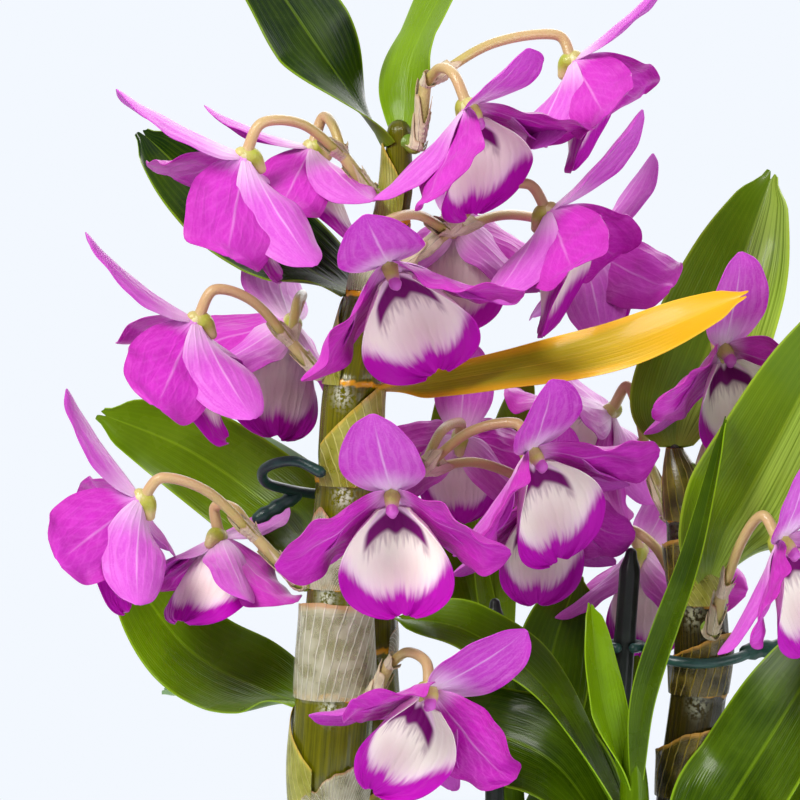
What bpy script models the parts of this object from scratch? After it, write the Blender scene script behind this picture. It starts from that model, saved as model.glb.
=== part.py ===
"""Potted noble dendrobium orchid in flower, staked and clipped.

Sizes and places are in millimetres and become metres as each mesh is made.
The origin is the middle of the pot's foot, +Z is up, and the front faces -Y.
An azimuth of 0 faces the front, 90 the right-hand side (+X) and -90 the left.
"""

import math
import random

import bpy
import numpy as np
from mathutils import Vector

MM = 0.001
CLEARANCE = 0.4

# Pot
POT_HEIGHT = 115.0
POT_RIM_RADIUS = 75.0
POT_RIM_HEIGHT = 22.0
POT_RIM_STEP = 4.0
POT_FOOT_RADIUS = 52.0
POT_WALL = 5.0
POT_FLOOR = 7.0
POT_SIDES = 24
DRAIN_RADIUS = 5.0
DRAIN_CIRCLE = 26.0

# Potting bark
BARK_LEVEL = 100.0
BARK_CROWN = 4.0
BARK_CHIPS = 22
BARK_SEED = 41
HOLE_ROOM = 0.9
HOLE_TOP = BARK_LEVEL + 25

# Canes: points of the middle line with the radius there, from the buried foot to the top
CANES = {
    "main": (
        (-40, 4, 58, 8.5), (-43, 3, 100, 9.5), (-48, 1, 150, 11.0), (-50, 0, 203, 11.8),
        (-48, 0, 237, 12.0), (-47, 0, 271, 9.2), (-44, 0, 303, 9.6), (-42, 0, 334, 8.8),
        (-36, 0, 363, 7.2), (-29, 0, 389, 5.0), (-28, 0, 411, 3.6),
    ),
    "side": (
        (42, 4, 58, 6.5), (46, 3, 100, 7.0), (54, 1, 150, 7.6), (60, 0, 203, 8.2),
        (65, 0, 240, 8.5), (65, 0, 262, 8.2), (62, 0, 284, 7.6), (56, 0, 316, 6.4), (54, 0, 324, 4.4),
    ),
    "back": (
        (-28, 34, 58, 7.5), (-31, 33, 100, 8.5), (-34, 32, 160, 9.6), (-36, 31, 205, 9.8),
        (-37, 31, 240, 8.4), (-37, 32, 268, 6.4), (-36, 33, 284, 4.2),
    ),
}
CANE_RINGS = {
    "main": (130, 166, 203, 237, 271, 303, 334, 360, 384),
    "side": (132, 170, 206, 238, 266, 292),
    "back": (136, 178, 215, 246, 268),
}
CANE_SIDES = 8
RING_SWELL = 0.7

# Stakes: foot, head and radius
STAKES = {
    "left": ((-47, 20.5, 58), (-41, 16, 318), 2.7),
    "middle": ((2, 14, 58), (2, 14, 264), 2.9),
    "right": ((29, 4, 58), (44, 4, 281), 3.2),
}

# Clips: height on the stake of the same name, side of it that the hook leaves by, the hook's points,
# the lug's ends and radius
CLIPS = {
    "left": (
        296, -1,
        ((-54, 17, 297), (-62, 11, 299), (-69, 4, 302), (-70, -1, 306), (-66, -6, 309), (-59, -10, 310),
         (-52, -12, 307)),
        ((-60, 13, 297), (-72, 12, 290)), 2.2,
    ),
    "right": (
        251, 1,
        ((53, -8, 249), (64, -12, 248), (75, -9, 249), (82, -3, 251)),
        ((79, -5, 250.5), (92, -2, 252)), 2.6,
    ),
}
CLIP_WIRE = 1.6

# Leaves: cane, height at which it leaves, the rest of the midrib, width, and the way its face turns
LEAVES = {
    "top_left": ("main", 406, ((-49, -4, 430), (-66, -8, 455), (-83, -12, 478)), 30, (0.5, -0.8, 0.4)),
    "top_right": ("main", 409, ((-24, 10, 432), (-14, 14, 454), (-5, 15, 475)), 24, (-0.8, -0.5, 0.3)),
    "upper_left": ("main", 360, ((-58, 22, 368), (-84, 34, 386), (-110, 40, 410)), 34, (0.3, -0.8, 0.5)),
    "middle_left": (
        "main", 274, ((-58, 26, 280), (-70, 46, 290), (-96, 54, 307), (-125, 56, 319)), 34,
        (0.2, -0.93, 0.3),
    ),
    "lower_left": ("main", 232, ((-70, 20, 234), (-96, 34, 246), (-119, 42, 276)), 34, (0.3, -0.8, 0.5)),
    "yellow": ("main", 332, ((-8, -15, 336), (36, -30, 346), (76, -38, 363)), 24, (0.1, -0.75, 0.65)),
    "back_narrow": ("back", 266, ((-52, 58, 288), (-78, 68, 306), (-98, 70, 317)), 18, (0.1, -0.6, 0.8)),
    "back_low": ("back", 222, ((-62, 46, 229), (-84, 56, 230), (-105, 60, 228)), 20, (0.1, -0.3, 0.9)),
    "side_upright": (
        "side", 314, ((60, 14, 324), (69, 30, 340), (80, 42, 366), (91, 46, 397)), 36,
        (-0.3, -0.95, 0.1),
    ),
    "side_tall": (
        "side", 274, ((71, -15, 288), (79, -21, 304), (93, -33, 334), (110, -38, 368)), 36,
        (0.15, -0.98, 0.1),
    ),
    "side_front": ("side", 186, ((72, -18, 204), (90, -20, 234), (110, -16, 266)), 36, (-0.5, -0.8, 0.3)),
    "side_low": ("side", 166, ((80, 14, 178), (98, 20, 204), (116, 20, 230)), 30, (-0.4, -0.8, 0.4)),
}
LEAF_THICKNESS = 1.1
LEAF_OUTLINE = ((0, 0.3), (0.2, 0.8), (0.4, 1.0), (0.6, 0.98), (0.8, 0.78), (1, 0.26))

# Young growths: points of the short stem with its radius, then leaves as midrib points, width and face
SHOOTS = {
    "young": (
        (
            (38, -22, 58, 4.5), (40, -22, 100, 6.0), (43, -19, 160, 5.5), (44, -17, 206, 4.6),
            (43, -15, 226, 2.6),
        ),
        (
            (((44, -17, 204), (46, -22, 236), (54, -27, 262), (62, -31, 288), (70, -34, 326)), 13, (-0.6, -0.8, 0.1)),
            (((43, -17, 204), (36, -19, 228), (32, -20, 248), (30, -20, 268)), 13, (0.5, -0.85, 0.0)),
            (((43, -17, 196), (18, -10, 238), (-6, -4, 256), (-29, 4, 260)), 22, (0.5, -0.6, 0.6)),
            (((42, -18, 184), (22, -9, 214), (2, 0, 224), (-18, 3, 229)), 32, (0.2, -0.9, 0.35)),
        ),
    ),
    "rear": (
        (
            (8, 30, 58, 4.5), (9, 32, 100, 6.0), (8, 34, 170, 5.4), (6, 36, 226, 4.2),
            (5, 37, 250, 2.4),
        ),
        (
            (((5, 36, 232), (-6, 52, 264), (-11, 62, 300), (-11, 66, 334)), 16, (-0.2, -0.98, 0.0)),
            (((5, 36, 236), (2, 54, 270), (6, 66, 304), (14, 70, 334)), 16, (0.3, -0.95, 0.0)),
            (((7, 35, 200), (17, 42, 222), (22, 46, 246), (30, 50, 268)), 26, (0.2, -0.9, 0.3)),
            (((7, 34, 180), (30, 40, 206), (42, 46, 232), (48, 54, 256)), 24, (-0.2, -0.9, 0.3)),
        ),
    ),
}

# Flower: sizes of one bloom of full scale
DORSAL_LENGTH = 41.0
DORSAL_SWEEP = 7.0
SEPAL_WIDTH = 21.0
LATERAL_LENGTH = 39.0
LATERAL_ANGLE = 128.0
LATERAL_SWEEP = 22.0
PETAL_LENGTH = 39.0
PETAL_WIDTH = 26.0
PETAL_ANGLE = 88.0
PETAL_SWEEP = 42.0
LIP_LENGTH = 34.0
LIP_HALF_WIDTH = 19.0
TEPAL_THICKNESS = 0.8
COLUMN_LENGTH = 8.5
COLUMN_RADIUS = 2.1
PEDICEL_RADII = (1.5, 1.5, 1.6, 2.0, 2.9, 3.9, 3.0)
STALK_RADII = (2.1, 2.2, 2.0)
HIGHEST_ARCH = 5.0
SEPAL_OUTLINE = ((0, 0.22), (0.38, 0.98), (0.76, 0.76), (1, 0.16))
PETAL_OUTLINE = ((0, 0.18), (0.38, 0.94), (0.76, 0.86), (1, 0.22))
LIP_ROWS = ((0.0, 0.5, 112), (0.25, 0.82, 95), (0.55, 1.0, 68), (0.84, 0.78, 46), (1.0, 0.3, 30))

# Sprays: cane, height on the cane, the fork of the pedicels, and the blooms
# A bloom is its middle, the azimuth it faces, its nod below level, its roll to the left and its scale
SPRAYS = {
    "top": ("main", 407, (-20, -5, 425), (
        ((-7, -22, 418), 62, 57, 32, 0.95),
        ((26, 8, 432), 80, 45, 8, 0.88),
    )),
    "upper_left": ("main", 392, (-45, -3, 403), (
        ((-75, -17, 403), -100, 57, -30, 1.04),
        ((-55, 8, 405), -88, 68, 0, 0.82),
    )),
    "upper_right": ("main", 372, (-13, -3, 380), (
        ((-31, -42, 372), 36, 60, 46, 1.04),
        ((18, -6, 386), 76, 45, 0, 0.98),
        ((31, 41, 372), 110, 40, 0, 0.9),
        ((-10, 30, 382), 165, 50, 0, 0.9),
    )),
    "middle_left": ("main", 337, (-61, -4, 346), (
        ((-90, -12, 353), -97, 54, -18, 1.0),
        ((-62, 25, 350), -140, 50, 20, 0.95),
    )),
    "middle_right": ("main", 303, (-21, -8, 307), (
        ((-30, -44, 304), 0, 52, 6, 1.0),
        ((12, -21, 314), 45, 44, 27, 0.94),
        ((14, 12, 294), 14, 34, 0, 0.8),
        ((-9, 26, 314), 180, 25, 0, 0.75),
    )),
    "lower_left": ("main", 272, (-72, -5, 286), (
        ((-107, -14, 299), -104, 32, -10, 0.93),
        ((-84, 10, 284), 146, 80, 0, 0.8),
    )),
    "lower_right": ("main", 237, (-31, -14, 248), (
        ((-19, -33, 243), 2, 40, -42, 0.9),
    )),
    "side_left": ("side", 292, (50, 16, 306), (
        ((38, 25, 322), -105, 45, -80, 0.85),
    )),
    "side_top": ("side", 306, (71, 0, 326), (
        ((71, -7, 344), 26, 36, 10, 0.85),
    )),
    "side_right": ("side", 258, (70, -20, 270), (
        ((86, -40, 289), 50, 37, 25, 0.92),
    )),
    "side_back": ("side", 255, (61, 19, 264), (
        ((49, 36, 276), 150, 45, 0, 0.86),
    )),
}

COLOURS = {
    "pot": ((0.42, 0.17, 0.09), 0.85),
    "bark": ((0.16, 0.08, 0.04), 0.95),
    "stake": ((0.02, 0.05, 0.03), 0.4),
    "clip": ((0.015, 0.06, 0.045), 0.35),
    "cane": ((0.17, 0.18, 0.02), 0.35),
    "leaf": ((0.07, 0.19, 0.02), 0.35),
    "yellow_leaf": ((0.75, 0.42, 0.04), 0.4),
    "petal": ((0.50, 0.06, 0.52), 0.5),
    "lip": ((0.86, 0.76, 0.78), 0.5),
}


def unit(vector):
    """The vector at length 1."""
    vector = np.asarray(vector, float)
    return vector / np.linalg.norm(vector)


def smooth_line(points, count):
    """`count` evenly stepped points on a smooth curve through the given points of any dimension."""
    points = np.asarray(points, float)
    ends = np.vstack([2 * points[0] - points[1], points, 2 * points[-1] - points[-2]])
    found = []
    for place in np.linspace(0, len(points) - 1, count):
        index = min(int(place), len(points) - 2)
        t = place - index
        a, b, c, d = ends[index:index + 4]
        found.append(b + 0.5 * t * (c - a + t * (2 * a - 5 * b + 4 * c - d + t * (3 * (b - c) + d - a))))
    return np.array(found)


def outward(points, faces):
    """The same closed surface with its faces turned outwards."""
    volume = 0.0
    for face in faces:
        for second, third in zip(face[1:], face[2:]):
            volume += np.dot(points[face[0]], np.cross(points[second], points[third]))
    return points, (faces if volume > 0 else [face[::-1] for face in faces])


def tube(line, radii, sides):
    """A closed round bar along a line of points, with a radius for each."""
    line = np.asarray(line, float)
    steps = np.gradient(line, axis=0)
    side = unit(np.cross(steps[0], (0.31, 0.23, 0.92) if abs(unit(steps[0])[2]) < 0.9 else (1, 0, 0)))
    points = []
    for centre, step, radius in zip(line, steps, radii):
        forward = unit(step)
        side = unit(side - np.dot(side, forward) * forward)
        other = np.cross(forward, side)
        for turn in range(sides):
            angle = 2 * math.pi * turn / sides
            points.append(centre + radius * (math.cos(angle) * side + math.sin(angle) * other))
    faces = [list(range(sides)), list(range((len(line) - 1) * sides, len(line) * sides))[::-1]]
    for ring in range(len(line) - 1):
        for turn in range(sides):
            a = ring * sides + turn
            b = ring * sides + (turn + 1) % sides
            faces.append([a, a + sides, b + sides, b])
    return outward(np.array(points), faces)


def shell(grid, thickness):
    """A closed blade of one thickness about a grid of points, in matching triangles on both faces."""
    rows, columns = grid.shape[:2]
    normal = np.cross(np.gradient(grid, axis=0), np.gradient(grid, axis=1))
    normal /= np.linalg.norm(normal, axis=2, keepdims=True)
    front = (grid + normal * thickness / 2).reshape(-1, 3)
    back = (grid - normal * thickness / 2).reshape(-1, 3)
    behind = rows * columns
    faces = []
    for row in range(rows - 1):
        for column in range(columns - 1):
            a = row * columns + column
            b, c, d = a + 1, a + columns + 1, a + columns
            cell = ([a, b, c], [a, c, d]) if column * 2 < columns - 1 else ([a, b, d], [b, c, d])
            for face in cell:
                faces.append(face)
                faces.append([behind + corner for corner in face[::-1]])
    border = list(range(columns))
    border += [row * columns + columns - 1 for row in range(1, rows)]
    border += [(rows - 1) * columns + column for column in range(columns - 2, -1, -1)]
    border += [row * columns for row in range(rows - 2, 0, -1)]
    for a, b in zip(border, border[1:] + border[:1]):
        faces.append([b, a, behind + a])
        faces.append([b, behind + a, behind + b])
    return outward(np.vstack([front, back]), faces)


def lathe(profile, sides):
    """A closed turned body: (radius, height) corners from the axis at the foot round to the axis again."""
    points = []
    rings = []
    for radius, height in profile:
        if radius == 0:
            rings.append([len(points)] * sides)
            points.append((0, 0, height))
            continue
        rings.append(list(range(len(points), len(points) + sides)))
        for turn in range(sides):
            angle = 2 * math.pi * turn / sides
            points.append((radius * math.cos(angle), radius * math.sin(angle), height))
    faces = []
    for low, high in zip(rings, rings[1:]):
        for turn in range(sides):
            after = (turn + 1) % sides
            face = [low[turn], low[after], high[after], high[turn]]
            faces.append([corner for place, corner in enumerate(face) if corner not in face[:place]])
    return outward(np.array(points, float), faces)


def material(name):
    """The finish of this name, made at its first use."""
    found = bpy.data.materials.get(name)
    if found:
        return found
    found = bpy.data.materials.new(name)
    found.use_nodes = True
    shader = found.node_tree.nodes["Principled BSDF"]
    colour, roughness = COLOURS[name]
    shader.inputs["Base Color"].default_value = (*colour, 1)
    shader.inputs["Roughness"].default_value = roughness
    shader.inputs["Metallic"].default_value = 0
    return found


def add_object(name, solid, finish):
    """An object of this name from points in millimetres and faces."""
    points, faces = solid
    mesh = bpy.data.meshes.new(name)
    mesh.from_pydata([tuple(point) for point in np.asarray(points) * MM], [], faces)
    mesh.materials.append(material(finish))
    mesh.shade_smooth()
    mesh.set_sharp_from_angle(angle=math.radians(35))
    made = bpy.data.objects.new(name, mesh)
    bpy.context.scene.collection.objects.link(made)
    return made


def keep_shape(made):
    """Replaces an object's mesh by what its modifiers make of it."""
    bpy.context.view_layer.update()
    evaluated = made.evaluated_get(bpy.context.evaluated_depsgraph_get())
    mesh = bpy.data.meshes.new_from_object(evaluated)
    made.modifiers.clear()
    made.data = mesh
    mesh.name = made.name


def combine(made, solids, operation, finish, solver="EXACT"):
    """Joins other solids to an object, or cuts them from it, in one Boolean on a collection."""
    helpers = bpy.data.collections.new(made.name + "_pieces")
    bpy.context.scene.collection.children.link(helpers)
    for index, solid in enumerate(solids):
        piece = add_object(f"{made.name}_piece_{index}", solid, finish)
        bpy.context.scene.collection.objects.unlink(piece)
        helpers.objects.link(piece)
    step = made.modifiers.new(operation.title(), "BOOLEAN")
    step.operation = operation
    step.operand_type = "COLLECTION"
    step.collection = helpers
    step.solver = solver
    keep_shape(made)
    for piece in list(helpers.objects):
        bpy.data.objects.remove(piece)
    bpy.data.collections.remove(helpers)


def fused(name, solids, finish):
    """One object made of all the solids joined."""
    made = add_object(name, solids[0], finish)
    combine(made, solids[1:], "UNION", finish, "MANIFOLD")
    return made


def pot_inner_radius(height):
    """The radius of the pot's inside at a height."""
    share = (height - POT_FLOOR) / (POT_HEIGHT - POT_FLOOR)
    top = POT_RIM_RADIUS - POT_RIM_STEP - POT_WALL
    foot = POT_FOOT_RADIUS - POT_WALL
    return foot + (top - foot) * share


def make_pot():
    """A plain tapered pot with a raised rim band and drain holes."""
    shoulder = POT_HEIGHT - POT_RIM_HEIGHT
    under_rim = pot_inner_radius(shoulder) + POT_WALL
    profile = (
        (0, 0),
        (POT_FOOT_RADIUS - 2, 0),
        (POT_FOOT_RADIUS, 2),
        (under_rim, shoulder),
        (POT_RIM_RADIUS - 1.5, shoulder + 2.5),
        (POT_RIM_RADIUS, POT_HEIGHT - 2.5),
        (POT_RIM_RADIUS - 2.5, POT_HEIGHT),
        (POT_RIM_RADIUS - POT_RIM_STEP - POT_WALL + 2, POT_HEIGHT),
        (pot_inner_radius(POT_HEIGHT - 2), POT_HEIGHT - 2),
        (pot_inner_radius(POT_FLOOR), POT_FLOOR),
        (0, POT_FLOOR),
    )
    pot = add_object("pot", lathe(profile, POT_SIDES), "pot")
    drains = []
    for turn in range(4):
        angle = math.pi / 4 + turn * math.pi / 2
        x, y = DRAIN_CIRCLE * math.cos(angle), DRAIN_CIRCLE * math.sin(angle)
        drains.append(tube(((x, y, -1), (x, y, POT_FLOOR + 1)), (DRAIN_RADIUS,) * 2, 10))
    combine(pot, drains, "DIFFERENCE", "pot")


def bark_chip(rng):
    """A rough chip of bark lying half sunk in the top of the filling."""
    reach = pot_inner_radius(BARK_LEVEL) - 13
    distance = reach * math.sqrt(rng.random())
    bearing = rng.uniform(0, 2 * math.pi)
    middle = np.array((distance * math.cos(bearing), distance * math.sin(bearing), BARK_LEVEL + 2.0))
    size = np.array((rng.uniform(6, 10), rng.uniform(4, 7), rng.uniform(2.5, 4)))
    corners = []
    for x in (-1, 1):
        for y in (-1, 1):
            for z in (-1, 1):
                corners.append(size * (x, y, z) * [rng.uniform(0.7, 1.0) for _ in range(3)])
    turn, tilt = rng.uniform(0, math.pi), rng.uniform(-0.5, 0.5)
    spin = np.array(((math.cos(turn), -math.sin(turn), 0), (math.sin(turn), math.cos(turn), 0), (0, 0, 1)))
    lean = np.array(((math.cos(tilt), 0, math.sin(tilt)), (0, 1, 0), (-math.sin(tilt), 0, math.cos(tilt))))
    faces = [[0, 1, 3], [0, 3, 2], [4, 6, 7], [4, 7, 5], [0, 4, 5], [0, 5, 1],
             [2, 3, 7], [2, 7, 6], [0, 2, 6], [0, 6, 4], [1, 5, 7], [1, 7, 3]]
    return outward(middle + np.array(corners) @ (spin @ lean).T, faces)


def make_bark(standing):
    """The filling of the pot with chips in its top, and a plain hole for each thing that stands in it."""
    profile = (
        (0, POT_FLOOR + CLEARANCE),
        (pot_inner_radius(POT_FLOOR) - 1.0, POT_FLOOR + CLEARANCE),
        (pot_inner_radius(BARK_LEVEL) - 1.0, BARK_LEVEL),
        (pot_inner_radius(BARK_LEVEL) * 0.6, BARK_LEVEL + BARK_CROWN * 0.7),
        (0, BARK_LEVEL + BARK_CROWN),
    )
    bark = add_object("potting_bark", lathe(profile, POT_SIDES), "bark")
    rng = random.Random(BARK_SEED)
    combine(bark, [bark_chip(rng) for _ in range(BARK_CHIPS)], "UNION", "bark", "MANIFOLD")
    combine(bark, standing, "DIFFERENCE", "bark", "MANIFOLD")


def hole(line, radii):
    """The room that a standing thing needs in the bark: its own line, a little wider and longer."""
    line = np.asarray(line, float)
    start = line[0] - CLEARANCE * unit(line[1] - line[0])
    return tube([start, *line[1:]], [radius + HOLE_ROOM for radius in radii], 8)


def stem_at(stem, height):
    """The middle and the radius, at a height, of a stem given by its points."""
    points = smooth_line(stem, 120)
    heights = points[:, 2]
    middle = [np.interp(height, heights, points[:, axis]) for axis in range(3)]
    return np.array(middle), np.interp(height, heights, points[:, 3])


def cane_at(cane, height):
    """The middle and the radius of a cane at a height."""
    return stem_at(CANES[cane], height)


def stem_hole(stem, room):
    """The hole in the bark for a stem, with some room beyond the usual."""
    levels = [stem_at(stem, height) for height in np.linspace(stem[0][2], HOLE_TOP, 5)]
    return hole([middle for middle, _ in levels], [radius + room for _, radius in levels])


def make_cane(cane):
    """One cane: a jointed round stem, a little thicker at each ring and waisted above it."""
    foot = CANES[cane][0][2]
    levels = [(foot, 0.0), ((foot + BARK_LEVEL) / 2, 0.0), (BARK_LEVEL + 8, 0.0)]
    for ring, after in zip(CANE_RINGS[cane], CANE_RINGS[cane][1:] + (CANES[cane][-1][2],)):
        levels += [(ring - 1.6, 0.0), (ring, RING_SWELL), (ring + 1.8, -0.3)]
        levels.append(((ring + after) / 2, 0.2))
    levels.append((CANES[cane][-1][2], -0.8))
    line, radii = [], []
    for height, swell in levels:
        middle, radius = cane_at(cane, height)
        line.append(middle)
        radii.append(radius + swell)
    add_object("cane_" + cane, tube(line, radii, CANE_SIDES), "cane")


def leaf_grid(line, width, face, rows=6, keel=0.18):
    """A leaf's middle surface: a keeled, notched strap that turns from its stem to its own face."""
    places = np.linspace(0, 1, rows)
    points = smooth_line(line, rows)
    steps = np.gradient(points, axis=0)
    away = unit((points[1] - points[0]) * (1, 1, 0))
    inward = unit((-away[0], -away[1], 0.6))
    inward = inward if np.dot(inward, face) > 0 else -inward
    grid = np.zeros((rows, 3, 3))
    for row, place in enumerate(places):
        half = 0.5 * width * np.interp(place, *zip(*LEAF_OUTLINE))
        forward = unit(steps[row])
        turned = min(place / 0.45, 1)
        across = unit(np.cross(forward, (1 - turned) * inward + turned * unit(face)))
        normal = np.cross(across, forward)
        wave = 0.05 * width * math.sin(6.3 * place + width)
        for column, side in enumerate((-1, 0, 1)):
            lift = keel * half * abs(side) + wave * side * side * (1 if side > 0 else -1)
            grid[row, column] = points[row] + side * half * across + lift * normal
    notch = 0.06 * np.linalg.norm(points[-1] - points[0])
    grid[-1, 1] -= unit(steps[-1]) * notch
    grid[-1, 2] -= unit(steps[-1]) * notch * 0.7
    return grid


def off_skin(cane, height, away, half):
    """A point just off a cane's skin, where a base of this half width can leave in a level direction."""
    middle, _ = cane_at(cane, height)
    level = np.cross((0, 0, 1), away)
    skin = bpy.data.objects["cane_" + cane]
    reach = 0.0
    for aside in np.linspace(-half, half, 7):
        for rise in (-2.4, 0, 2.4):
            start = middle + 40 * away + aside * level + np.array((0, 0, rise))
            met, place, _, _ = skin.ray_cast(Vector(start * MM), Vector(-away))
            if met:
                reach = max(reach, np.dot(np.array(place) / MM - middle, away))
    return middle + away * (reach + CLEARANCE)


def make_leaf(name):
    """A leaf that leaves its cane at a ring, its base a little off the cane's skin."""
    cane, height, rest, width, face = LEAVES[name]
    middle, _ = cane_at(cane, height)
    away = unit((rest[0] - middle) * (1, 1, 0))
    start = off_skin(cane, height, away, 0.15 * width) + 0.5 * LEAF_THICKNESS * away
    finish = "yellow_leaf" if name == "yellow" else "leaf"
    add_object("leaf_" + name, shell(leaf_grid([start, *rest], width, face), LEAF_THICKNESS), finish)


def make_shoot(name):
    """A young leafy growth: a short stem and the leaves that wrap it, all one piece."""
    stem, leaves = SHOOTS[name]
    stem = smooth_line(stem, 8)
    pieces = [tube(stem[:, :3], stem[:, 3], 6)]
    for line, width, face in leaves:
        pieces.append(shell(leaf_grid(line, width, face), LEAF_THICKNESS))
    fused("shoot_" + name, pieces, "leaf")


def make_stake(name):
    """A slim round stake with a blunt point."""
    foot, head, radius = STAKES[name]
    foot, head = np.array(foot, float), np.array(head, float)
    up = unit(head - foot)
    line = (foot, head - up * 5, head)
    add_object("stake_" + name, tube(line, (radius, radius, radius * 0.45), 10), "stake")


def stake_at(name, height):
    """The middle of a stake at a height."""
    foot, head, _ = STAKES[name]
    share = (height - foot[2]) / (head[2] - foot[2])
    return np.array(foot, float) + share * (np.array(head, float) - np.array(foot, float))


def ring_reach(name):
    """How far the middle of a clip's wire is from the middle of the stake it grips."""
    return STAKES[name][2] + CLIP_WIRE + CLEARANCE


def clip_ring(name, height):
    """An open ring of wire that grips a stake, as a closed bar round most of a turn."""
    middle = stake_at(name, height)
    line = []
    for step in range(11):
        angle = math.radians(-60 + 30 * step)
        line.append(middle + ring_reach(name) * np.array((math.cos(angle), math.sin(angle), 0)))
    return tube(line, [CLIP_WIRE] * len(line), 6)


def make_clip(name):
    """A plant clip: a ring round its stake, a hook round its cane, and a lug to press."""
    height, side, hook, lug, lug_radius = CLIPS[name]
    grip = stake_at(name, height) + side * ring_reach(name) * np.array((1, 0, 0))
    line = smooth_line((grip, *hook), 2 * len(hook))
    fused("clip_" + name, [
        clip_ring(name, height),
        tube(line, [CLIP_WIRE] * len(line), 6),
        tube(lug, (lug_radius, lug_radius), 6),
    ], "clip")


class Flower:
    """The place of one bloom: its middle, and its rightward, upward and forward directions."""

    def __init__(self, middle, azimuth, nod, roll, scale):
        turn, droop, lean = (math.radians(angle) for angle in (azimuth, nod, roll))
        level = np.array((math.sin(turn), -math.cos(turn), 0))
        above = np.array((0, 0, 1))
        self.middle = np.array(middle, float)
        self.scale = scale
        self.front = math.cos(droop) * level - math.sin(droop) * above
        up = math.sin(droop) * level + math.cos(droop) * above
        right = np.cross(up, self.front)
        self.right = right * math.cos(lean) + up * math.sin(lean)
        self.up = up * math.cos(lean) - right * math.sin(lean)

    def at(self, right, up, front):
        """A point given in the bloom's own directions."""
        return self.middle + self.scale * (right * self.right + up * self.up + front * self.front)

    def place(self, grid):
        """A grid of such points."""
        flat = grid.reshape(-1, 3) @ np.array((self.right, self.up, self.front))
        return self.middle + self.scale * flat.reshape(grid.shape)


def tepal(angle, sweep, length, width, bend, cup, outline):
    """A sepal's or petal's middle surface. Its angle turns from the top to the right, its sweep forward."""
    angle, sweep, bend = (math.radians(value) for value in (angle, sweep, bend))
    plane = np.array((math.sin(angle), math.cos(angle), 0))
    front = np.array((0, 0, 1.0))
    across = np.cross(plane, front)
    grid = np.zeros((len(outline), 3, 3))
    point = 2.0 * plane
    before = 0.0
    for row, (place, share) in enumerate(outline):
        tilt = sweep + bend * (place + before) / 2
        point = point + (place - before) * length * (math.cos(tilt) * plane + math.sin(tilt) * front)
        before = place
        tilt = sweep + bend * place
        normal = math.cos(tilt) * front - math.sin(tilt) * plane
        half = 0.5 * width * share
        for column, side in enumerate((-1, 0, 1)):
            grid[row, column] = point + side * half * across + abs(side) * cup * half * normal
    return grid


def lip_grid():
    """The lip's middle surface: a funnel round the column that opens into a round, upturned blade."""
    down = unit((0, -1.0, 0.95))
    rise = unit((0, 0.95, 1.0))
    start = np.array((0, -4.6, 1.8))
    grid = np.zeros((len(LIP_ROWS), 5, 3))
    for row, (place, share, curl) in enumerate(LIP_ROWS):
        curl = math.radians(curl)
        half = LIP_HALF_WIDTH * share
        middle = start + place * LIP_LENGTH * down + 2.0 * place * place * rise
        for column, side in enumerate((-1, -0.5, 0, 0.5, 1)):
            turn = curl * side
            aside = np.array((math.sin(turn), 0, 0))
            grid[row, column] = middle + half / curl * (aside + (1 - math.cos(turn)) * rise)
    return grid


def bloom_pieces(flower, fork):
    """The solids of one bloom but its lip: sepals, petals, column and the pedicel from the fork."""
    grids = [
        tepal(0, DORSAL_SWEEP, DORSAL_LENGTH, SEPAL_WIDTH, -14, 0.16, SEPAL_OUTLINE),
        tepal(LATERAL_ANGLE, LATERAL_SWEEP, LATERAL_LENGTH, SEPAL_WIDTH * 0.92, -10, 0.14, SEPAL_OUTLINE),
        tepal(-LATERAL_ANGLE, LATERAL_SWEEP, LATERAL_LENGTH, SEPAL_WIDTH * 0.92, -10, 0.14, SEPAL_OUTLINE),
        tepal(PETAL_ANGLE, PETAL_SWEEP, PETAL_LENGTH, PETAL_WIDTH, -12, 0.12, PETAL_OUTLINE),
        tepal(-PETAL_ANGLE, PETAL_SWEEP, PETAL_LENGTH, PETAL_WIDTH, -12, 0.12, PETAL_OUTLINE),
    ]
    pieces = [shell(flower.place(grid), TEPAL_THICKNESS) for grid in grids]
    column = [flower.at(0, 0.4, 0), flower.at(0, 1.0, COLUMN_LENGTH - 2), flower.at(0, 1.0, COLUMN_LENGTH)]
    pieces.append(tube(column, (COLUMN_RADIUS, COLUMN_RADIUS, COLUMN_RADIUS * 0.6), 5))
    back = flower.at(0, -1, -9) + np.array((0, 0, 3))
    reach = np.linalg.norm(back - fork)
    lift = np.array((0, 0, min(0.2 * reach, HIGHEST_ARCH)))
    arch = fork * 0.5 + back * 0.5 + lift
    line = smooth_line((fork, arch, back, flower.at(0, 0, -2), flower.at(0, 0, 1.6)), len(PEDICEL_RADII))
    pieces.append(tube(line, PEDICEL_RADII, 5))
    return pieces


def make_spray(name):
    """A spray: its stalk, pedicels and blooms in one piece, with each lip a piece of its own."""
    cane, height, fork, blooms = SPRAYS[name]
    fork = np.array(fork, float)
    middle, _ = cane_at(cane, height)
    away = unit((fork - middle) * (1, 1, 0))
    root = off_skin(cane, height, away, 2.4)
    pieces = [tube((root, root + 3 * away, fork), STALK_RADII, 5)]
    for index, bloom in enumerate(blooms, 1):
        flower = Flower(*bloom)
        pieces += bloom_pieces(flower, fork)
        lip = shell(flower.place(lip_grid()), TEPAL_THICKNESS)
        add_object(f"lip_{name}_{index}", lip, "lip")
    fused("spray_" + name, pieces, "petal")


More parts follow.
